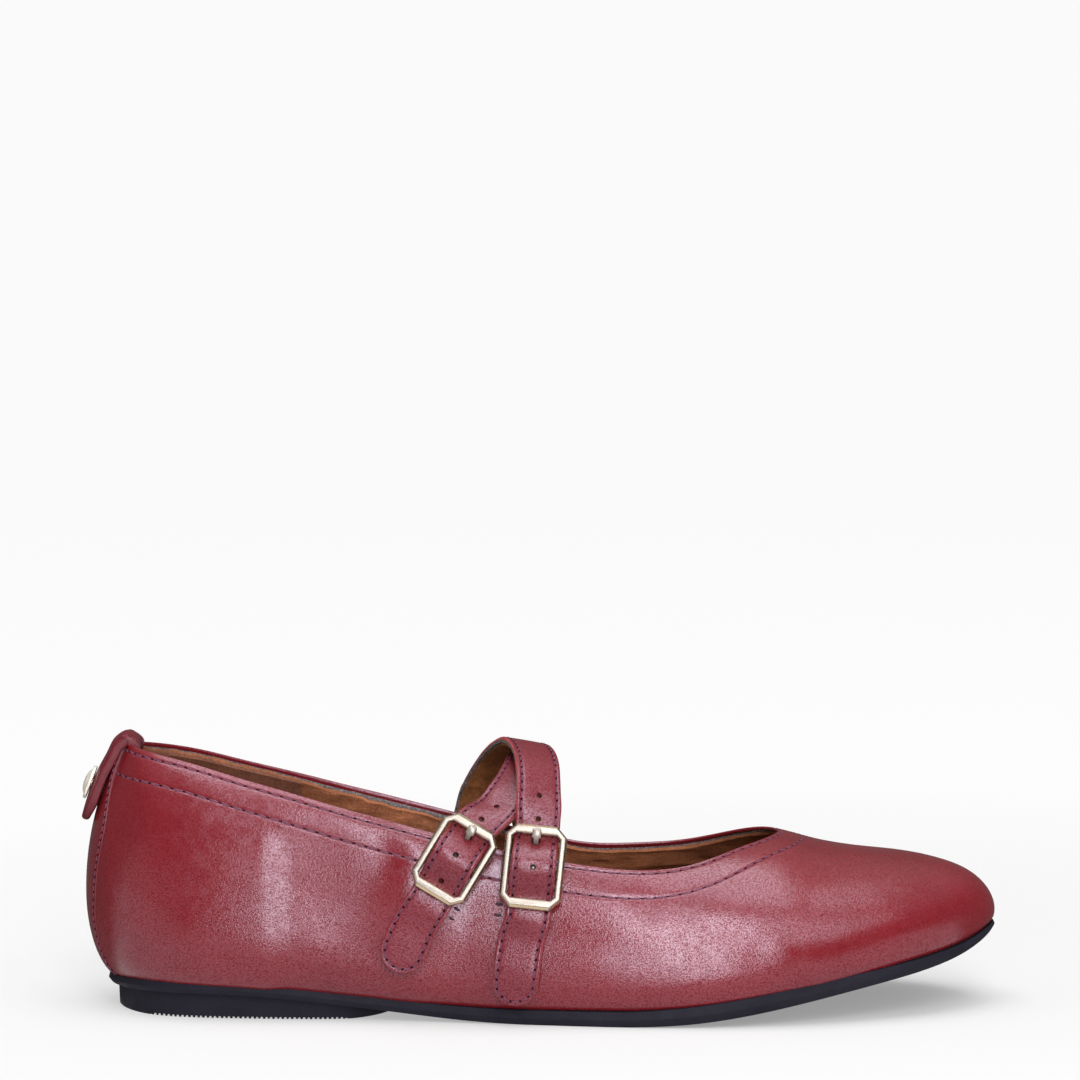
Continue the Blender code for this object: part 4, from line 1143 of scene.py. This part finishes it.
def make_prong(buckle):
    """A flat prong curled round the middle bar, its tip resting on the frame."""
    radius = PIVOT_RADIUS + 0.12 + PRONG_THICKNESS / 2
    curl = np.radians(np.linspace(190, -90, 14))
    spots = [(radius * math.cos(t), 0.0, -PIVOT_DROP + radius * math.sin(t)) for t in curl]
    spots += [(-2.6, 0.0, -3.2), (-4.6, 0.0, -3.0), (-5.9, 0.0, -1.9), (-6.5, 0.0, -0.5), (-7.1, 0.0, 0.6)]
    spots += [(-8.0, 0.0, 1.3), (-9.0, 0.0, 1.55), (-9.8, 0.0, 1.5), (-10.4, 0.0, 1.35)]
    length, path, _ = strip_route(spots, spots)
    at = np.linspace(0, length[-1], 90)
    (path,) = resample(at, length, path)
    outward = np.cross(unit(np.gradient(path, axis=0)), (0, 1.0, 0))
    left = length[-1] - at
    half = 0.75 + 0.45 * ease((3.0 - left) / 0.5)
    half = np.minimum(half, np.sqrt(np.maximum(left * 2.4, 0.02)) + 0.1)
    thick = PRONG_THICKNESS * (1 - 0.25 * ease((1.5 - left) / 1.5))
    points, faces, looks = rounded_bar(path, outward, half, thick)
    shape = in_buckle(buckle, points), faces, looks
    # The prong takes the pale copy of the gold that paints the lamp's highlight.
    piece(buckle.name + "_prong_metal", shape, PAINTED_HIGHLIGHT_GOLD, buckle.name + "_prong", "pale_gold")


def bevel(form):
    edges = [edge for edge in form.edges if edge.calc_face_angle(0) > math.radians(12)]
    bmesh.ops.bevel(
        form, geom=edges, offset=0.00016, segments=3, profile=0.6, affect="EDGES", clamp_overlap=True
    )


def make_buckle(buckle):
    """An octagonal frame with a flat face and sloping sides, and the bar across its middle."""
    top = FRAME_THICKNESS / 2
    profile = [(0, -top), (1, -top), (1, top - 0.85), (0.72, top), (0.14, top), (0, top - 0.3)]
    share, rise = np.array(profile).T
    corner = WINDOW_CORNER + share * (FRAME_CORNER - WINDOW_CORNER)
    half_length = (WINDOW_LENGTH + share * (FRAME_LENGTH - WINDOW_LENGTH)) / 2
    half_width = (WINDOW_WIDTH + share * (FRAME_WIDTH - WINDOW_WIDTH)) / 2
    rings = []
    for down, across, order in ((1, 1, 1), (1, -1, -1), (-1, -1, 1), (-1, 1, -1)):
        for shorter, narrower in ((1, 0), (0, 1))[::order]:
            a, b = half_length - corner * shorter, half_width - corner * narrower
            rings.append(in_buckle(buckle, np.column_stack([down * a, across * b, rise])))
    # The flat face (step 3) takes the pale copy of the gold that paints the lamp's highlight; the sides
    # take the rim gold.
    shape = sweep(rings, closed=True, looks=[1, 1, 1, 0, 1, 1])
    node = buckle.name + "_buckle"
    made = piece(node + "_frame", shape, [PAINTED_HIGHLIGHT_GOLD, RIM_GOLD], node, "pale_gold")
    edit(made.data, bevel)
    made.data.shade_smooth()
    made.data.set_sharp_from_angle(angle=math.radians(50))
    reach = (FRAME_WIDTH + WINDOW_WIDTH) / 4
    ends = [in_buckle(buckle, (0, side * reach, -PIVOT_DROP)) for side in (-1, 1)]
    # The middle bar takes the darkened gold, painted shade for where it lies under the strap.
    piece(buckle.name + "_middle_bar", rod(*ends, PIVOT_RADIUS), SHADED_BAR_GOLD, node, "pale_gold")


def make_anchor(buckle):
    """The leather loop round the middle bar, with its sewn end showing beside the strap's tail."""
    middle = in_buckle(buckle, (0, 0, 0))
    down, _, away = buckle_axes(buckle)
    spots, outward = [], []
    for distance in (ANCHOR_LENGTH + 1.6, 12.6, 10.6, 8.5):
        spot, out = wall_at_buckle(buckle, distance)
        outward.append(out)
        spots.append(spot + out * (0.1 + ANCHOR_THICKNESS / 2))
    radius = PIVOT_RADIUS + 0.15 + ANCHOR_THICKNESS / 2
    for turn in np.radians((-90, -125, -160, 165, 130, 90)):
        spots.append(in_buckle(buckle, (radius * math.cos(turn), 0, radius * math.sin(turn) - PIVOT_DROP)))
        outward.append(-unit(spots[-1] - in_buckle(buckle, (0, 0, -PIVOT_DROP))))
    for distance, rise in ((2.9, -1.2), (5.2, -3.2)):
        spots.append(in_buckle(buckle, (distance, 0, rise)))
        outward.append(-away)
    length, path, outward = strip_route(spots, outward)
    path, outward = resample(np.linspace(0, length[-1], 110), length, path, outward)
    widening = ease(((path - middle) @ down - 8.2) / 2.4)
    half = (ANCHOR_LOOP_WIDTH + (ANCHOR_WIDTH - ANCHOR_LOOP_WIDTH) * widening) / 2
    strip = rounded_bar(path, outward, half, ANCHOR_THICKNESS, 22, 0.3)
    piece(buckle.name + "_anchor_leather", strip, STRAP_LEATHER, buckle.name + "_anchor")
    tacks = []
    side = 1 if buckle.name == "front" else -1
    for distance in (12.0, 15.0):
        ends = []
        for across in (6.9, 9.0):
            spot, out = wall_at_buckle(buckle, distance, across * side)
            ends.append(spot + out * 0.35)
        tacks.append(blob((ends[0] + ends[1]) / 2, unit(ends[1] - ends[0]), out, 2.0, 0.75, 0.6))
    # The tacks take the darkened thread that paints the shade beside the buckle.
    piece(buckle.name + "_anchor_tacks", joined(tacks), SHADED_TACK_THREAD)


def make_tab():
    """The pull tab folded over the heel's rim, and the plain stud through it."""
    length, path, outward = tab_route()
    fold = ease((path[:, 2] - 70.5) / 2.5)
    tight = 1.8 * ease((path[:, 0] - 8) / 5)
    path = path - np.column_stack([tight, 0 * tight, 0 * tight])
    curl = np.column_stack([1.3 - 0.35 * tight, 0 * fold, -0.65 * fold])
    band = Band(length, path, outward, TAB_WIDTH / 2, curl=curl)
    face = TAB_THICKNESS / 2

    def edge_radius(s):
        return 0.95 - 0.55 * ease((band.total - s) / 6)

    def top(s, y, edge):
        return rounded(edge, edge_radius(s)) - 0.12 * hump((edge - 1.6) / 0.4) * (s < 13)

    def under(s, y, edge):
        return -rounded(edge, edge_radius(s))

    shape = band.layer(-face - 0.55, face + 0.2, EDGE_SHARES, 0.5, top, under)
    made = piece("heel_tab_leather", shape, [TAB_LEATHER, TAB_EDGE], "heel_tab")
    base, axis = stud_axis()
    cut(made, [rod(base - axis * 4, base + axis * 3, 1.3)])
    sewing = Stitching()
    down, across = np.linspace(0.8, 9.5, 80), band.half - TAB_SEAM
    for s, y in ((down, -across), (down, across), (np.full(80, 1.3), np.linspace(-across, across, 80))):
        sewing.row(band.point(s, y, face), band.outward(s), TAB_STITCH)
    sewing.finish("heel_tab")
    back = -TAB_THICKNESS - GAP
    profile = [(0.02, back - 0.6), (1.2, back - 0.58), (2.1, back - 0.45), (2.4, back - 0.25), (2.4, back)]
    profile += [(1.1, back), (1.1, GAP), (4.45, GAP), (STUD_RADIUS, GAP + 0.12), (4.78, 0.7)]
    profile += [(STUD_RADIUS, 1.0), (4.45, 1.2), (4.15, 1.22), (3.95, 1.14), (3.75, 1.2), (3.3, 1.55)]
    profile += [(2.6, 1.95), (1.8, 2.22), (0.9, 2.37), (0.25, 2.4), (0.02, 2.4)]
    # The stud takes the pale gold whose brightness paints its shine.
    piece("tab_stud_metal", turned(base, axis, profile), STUD_PAINTED_SHINE_GOLD, "tab_stud", "pale_gold")


def make_backstay():
    """The strip of leather down the back of the heel, sewn along both edges."""
    across = both_sides(np.concatenate([[1, 0.985, 0.95, 0.9, 0.86, 0.82], np.linspace(0.72, 0, 7)]))
    v = np.linspace(-0.985, 0.985, 130)[:, None]
    half = read(BACKSTAY, "half", v, "v")
    u = across[None, :] * half
    surface, out = LAST.face(u, v)
    edge = half - np.abs(u)
    height = 0.85 + rounded(edge, 0.5) - 0.15 * hump((edge - BACKSTAY_SEAM) / 0.35)
    height += 0.10 * SWELL(surface)
    rings = np.concatenate([surface + out * height[..., None], (surface - out * 0.15)[:, ::-1]], axis=1)
    shape = sweep(rings, looks=edge_looks(len(across)))
    piece("backstay_leather", shape, [LEATHER, TAB_EDGE], "backstay")
    sewing = Stitching()
    v = np.linspace(-0.98, 0.97, 500)
    for side in (-1, 1):
        u = side * (read(BACKSTAY, "half", v, "v") - BACKSTAY_SEAM)
        surface, out = LAST.face(u, v)
        sewing.row(surface + out * (0.80 + 0.10 * SWELL(surface))[:, None], out, BACKSTAY_STITCH)
    sewing.finish("backstay")


def ribs(x, start, pitch):
    """A wave between 0 and 1 along the sole."""
    return 0.5 - 0.5 * np.cos(2 * math.pi * (x - start) / pitch)


def make_sole():
    """The outsole, ribbed under the ball of the foot, and the heel lift with its finer ribs."""
    def part(share):
        return lambda x: LAST.under(x) + share * (LAST.edge_height(x) - 0.02 - LAST.under(x))

    def tread(floor, share):
        x = floor[..., 0]
        inner = ease((0.44 - np.abs(share - 0.5)) / 0.02)
        ends = ease((x - 118) / 2) * ease((214 - x) / 2)
        return inner * ends * 0.45 * ease(ribs(x, 0, 2.9) * 2.2 - 0.6)

    side = [(WELT + 1.2, 1), (0.65, 1), (0.42, 0.97), (0.30, 0.88), (0.06, 0.55), (0, 0.47)]
    side += [(0.05, 0.42), (0.7, 0.06), (0.85, 0.015), (1.05, 0)]
    levels = [(inset - WELT, part(share)) for inset, share in side]
    across = np.concatenate([[0.045, 0.06, 0.075], np.linspace(0.1, 0.9, 13), [0.925, 0.94, 0.955]])
    shape = sweep(slab(sole_rows(0.02, 12.985, 520), levels, across, tread))
    piece("outsole_rubber", shape, RUBBER, "outsole", "sole_rubber", 28)

    count, stations = np.arange(len(SECTIONS)), column(SECTIONS, "x")

    def inset(more):
        def at(rows):
            past = np.interp(rows, count, stations) - LIFT_TURN
            turn = np.clip(past / (LIFT_FRONT - LIFT_TURN), 0, 1)
            return LIFT_INSET - WELT + more + LIFT_DRAW_IN * (1 - np.sqrt(1 - turn**2))

        return at

    def top(x):
        return LAST.under(x) + 0.1

    def bottom(x):
        rise = 1 - np.sqrt(1 - np.clip((x - 70) / (LIFT_FRONT - 69), 0, 1) ** 2)
        fine = ease(ribs(x, 18, 1.27) * 2.4 - 0.7) * ease((x - 17) / 2) * ease((72 - x) / 3)
        return rise * (LAST.under(x) - 0.9) + 0.55 * fine

    front = np.interp(LIFT_FRONT, stations, count)
    rows = 0.03 + (front - 0.03) * np.interp(np.linspace(0, 1, 460), [0, 0.06, 1], [0, 0.2, 1])
    levels = [
        (inset(0), top), (inset(0.2), lambda x: 0.35 * top(x) + 0.65 * bottom(x)),
        (inset(0.3), lambda x: bottom(x) + 0.35), (inset(0.6), bottom),
    ]
    piece("heel_lift_rubber", sweep(slab(rows, levels)), RUBBER, "heel", "sole_rubber", 28)


def make_glue_line():
    """The dark, slightly ragged line of cement between the upper and the outsole."""
    u = LAST.around(900, 20.0)
    plan = LAST.outline(u)
    base = np.column_stack([plan, LAST.edge_height(plan[:, 0])])
    away = np.column_stack([-LAST.inward(u), np.zeros(len(u))])
    ragged = Noise(61, 2.4, 14)(base) + 0.8 * Noise(62, 9)(base)
    radius = 0.30 + 0.10 * np.clip(ragged, -1.6, 1.8)
    up = np.array([0, 0, 1.0])
    turn = (np.arange(8) * 2 * math.pi / 8)[None, :, None]
    ring = (base + 0.05 * (away + up))[:, None]
    ring = ring + radius[:, None, None] * (np.cos(turn) * away[:, None] + np.sin(turn) * up)
    piece("glue_line", sweep(ring, closed=True), GLUE, slot="sole_rubber")


def make_insole():
    """The sock inside the shoe, a little higher in the middle."""
    def level(rise):
        return lambda x: LAST.edge_height(x) + WALL + rise

    high = INSOLE_THICKNESS + GAP
    levels = [(1.9, level(high - 0.1)), (1.7, level(high - 0.6)), (2.0, level(0.0))]
    ring = slab(sole_rows(0.05, 12.95, 300), levels)
    share = np.linspace(1, 0, 25)[1:-1][None, :, None]
    crown = ring[:, :1] + (ring[:, -1:] - ring[:, :1]) * share
    crown[..., 2] += 0.5 * np.sin(math.pi * share[..., 0])
    piece("insole_sock", sweep(np.concatenate([ring, crown], axis=1)), SOCK, "insole", "lining")


def make_upper():
    """The skin, and inside it the interlining and the lining, which end at different depths below the
    collar so that all three show round the opening."""
    piece("upper_leather", upper_skin(), LEATHER, "upper")
    rim = LAST.rim_x(LAST.around(420, 26.0))[:, None]
    shallow = 1.1 + 0.35 * ease((rim - 40) / 30)
    felt = inner_layer(SKIN - 0.05, 1.32, shallow, 0.06, 14, lip=0)
    piece("upper_interlining", felt, FELT, "upper")
    deep = shallow + 0.2 + 0.8 * ease((rim - 52) / 30) - 0.7 * ease((rim - 108) / 20)
    lining = inner_layer(1.25, WALL, deep, 0.22, 60, crumple=0.30)
    piece("upper_lining", lining, LINING, "upper", "lining")
    u = np.linspace(LAST.station(3.75, "medial") - LAST.length, LAST.station(3.75, "lateral"), 150)
    start = np.full((len(u), 1), 1.7)
    grip = inner_layer(WALL - 0.1, WALL + 0.55, start, 0.05, 40, u, closed=False, crumple=0.05)
    piece("heel_grip_lining", grip, GRIP, "upper", "lining")
    sewing = Stitching()
    clear = BACKSTAY_HALF_WIDTH - 0.4
    u = np.linspace(clear, LAST.length - clear, 1500)
    for seam, slack in ((first_seam, 0.10), (second_seam, 0.16)):
        path, out = skin_surface(u, seam(u)[:, None])
        sewing.row(path[:, 0], out[:, 0], COLLAR_STITCH, slack, width=0.68)
    sewing.finish("collar")


make_upper()
make_insole()
make_sole()
make_glue_line()
make_backstay()
make_tab()
for bends, buckle, facing, holes_from_prong in (
    (FRONT_STRAP, FRONT_BUCKLE, FRONT_FACING, (-13.4, -6.7, 0, 8.3)),
    (REAR_STRAP, REAR_BUCKLE, REAR_FACING, (-13.4, -6.7, 0, 6.9, 15.2)),
):
    make_strap(bends, buckle, facing, holes_from_prong)
    make_buckle(buckle)
    make_prong(buckle)
    make_anchor(buckle)


# The studio, in metres. The floor takes shadows round the shoe and fades to even white further off.
FAR_TONE, FAR_GLOW = 0.04, 0.93
FAR = 9.0
BACKDROP_AT, BACKDROP_HEIGHT = 6.0, 1.5


def stage_look(name, near, glow_near):
    """near is the tone and glow_near the light given off round the shoe."""
    look = Graph(name, Specular_IOR_Level=0.0, Roughness=0.95, Emission_Color=(1, 1, 1, 1))
    shifted = {0: look.place, 1: (-0.09, 0, 0)}
    centred = look.add("ShaderNodeVectorMath", shifted, "Vector", operation="ADD")
    away = look.add("ShaderNodeVectorMath", {0: centred}, "Value", operation="LENGTH")
    away = look.ramp(look.maths("MULTIPLY", away, 0.5), 0.03, 0.0, 0.22, 1.0)
    grain = look.ramp(look.noise(300, 2), 0.3, 0.985, 0.7, 1.0)
    colour = look.mixed(away, (near,) * 3, (FAR_TONE,) * 3)
    look.wire("Base Color", look.mixed(1.0, colour, grain, "MULTIPLY"))
    given = {"Value": away, "To Min": glow_near, "To Max": FAR_GLOW}
    look.wire("Emission Strength", look.add("ShaderNodeMapRange", given, "Result"))
    return look.made


floor_look = stage_look("pale_floor", 0.456, 0.295)
backdrop_look = stage_look("backdrop", FAR_TONE, FAR_GLOW)
for name, (y0, z0), (y1, z1), look, mirrored in (
    ("floor", (-FAR, 0), (0, 0), floor_look, True),
    ("far_floor", (0, 0), (FAR, 0), floor_look, False),
    ("backdrop", (BACKDROP_AT, 0), (BACKDROP_AT, BACKDROP_HEIGHT), backdrop_look, False),
):
    corners = [(-FAR, y0, z0), (FAR, y0, z0), (FAR, y1, z1), (-FAR, y1, z1)]
    made = new_object(name, corners, [(0, 1, 2, 3)])
    made.data.materials.append(look)
    made.visible_glossy = mirrored

# The sky is dark near the horizon and bright overhead.
world = bpy.data.worlds.new("studio")
bpy.context.scene.world = world
world.use_nodes = True
sky = world.node_tree
height = sky.nodes.new("ShaderNodeSeparateXYZ")
direction = sky.nodes.new("ShaderNodeTexCoord")
bands = sky.nodes.new("ShaderNodeValToRGB")
sky.links.new(direction.outputs["Generated"], height.inputs["Vector"])
sky.links.new(height.outputs["Z"], bands.inputs["Fac"])
sky.links.new(bands.outputs["Color"], sky.nodes["Background"].inputs["Color"])
fill_ramp(bands, (0.0, 0.13, 0.45, 0.15, 0.80, 0.58, 1.0, 0.52))
sky.nodes["Background"].inputs["Strength"].default_value = 1.0

SHOE = (0.0, 0.0, 0.03)  # what the outer lamps aim at
LAMPS = table(
    "name x y z width height power aim",
    ("overhead", 0.05, -0.15, 1.7, 1.4, 1.4, 23, SHOE),
    ("front", 0.15, -1.62, 1.18, 0.50, 1.46, 24, (0.15, 0.0, 1.18)),
    ("front_low", 0.05, -1.62, 0.225, 0.70, 0.41, 7, (0.05, 0.0, 0.225)),
    ("front_right", 1.0, -1.4, 1.5, 1.0, 0.8, 8, SHOE),
)
for lamp in LAMPS:
    light = bpy.data.lights.new(lamp.name, "AREA")
    light.shape = "RECTANGLE"
    light.size, light.size_y = lamp.width, lamp.height
    light.energy = lamp.power
    made = bpy.data.objects.new(lamp.name, light)
    made.location = (lamp.x, lamp.y, lamp.z)
    aim = unit(np.array(lamp.aim) - (lamp.x, lamp.y, lamp.z))
    made.rotation_euler = (math.acos(-aim[2]), 0, math.atan2(aim[0], -aim[1]) + math.pi)
    bpy.context.scene.collection.objects.link(made)

camera = bpy.data.cameras.new("camera")
camera.sensor_width = 36.0
camera.lens = 177.7
camera.clip_end = 60
viewer = bpy.data.objects.new("camera", camera)
viewer.location = (0, -1.4477, 0.2553)
viewer.rotation_euler = (math.radians(84.95), 0, 0)
bpy.context.scene.collection.objects.link(viewer)
bpy.context.scene.camera = viewer
bpy.context.scene.view_settings.view_transform = "Standard"
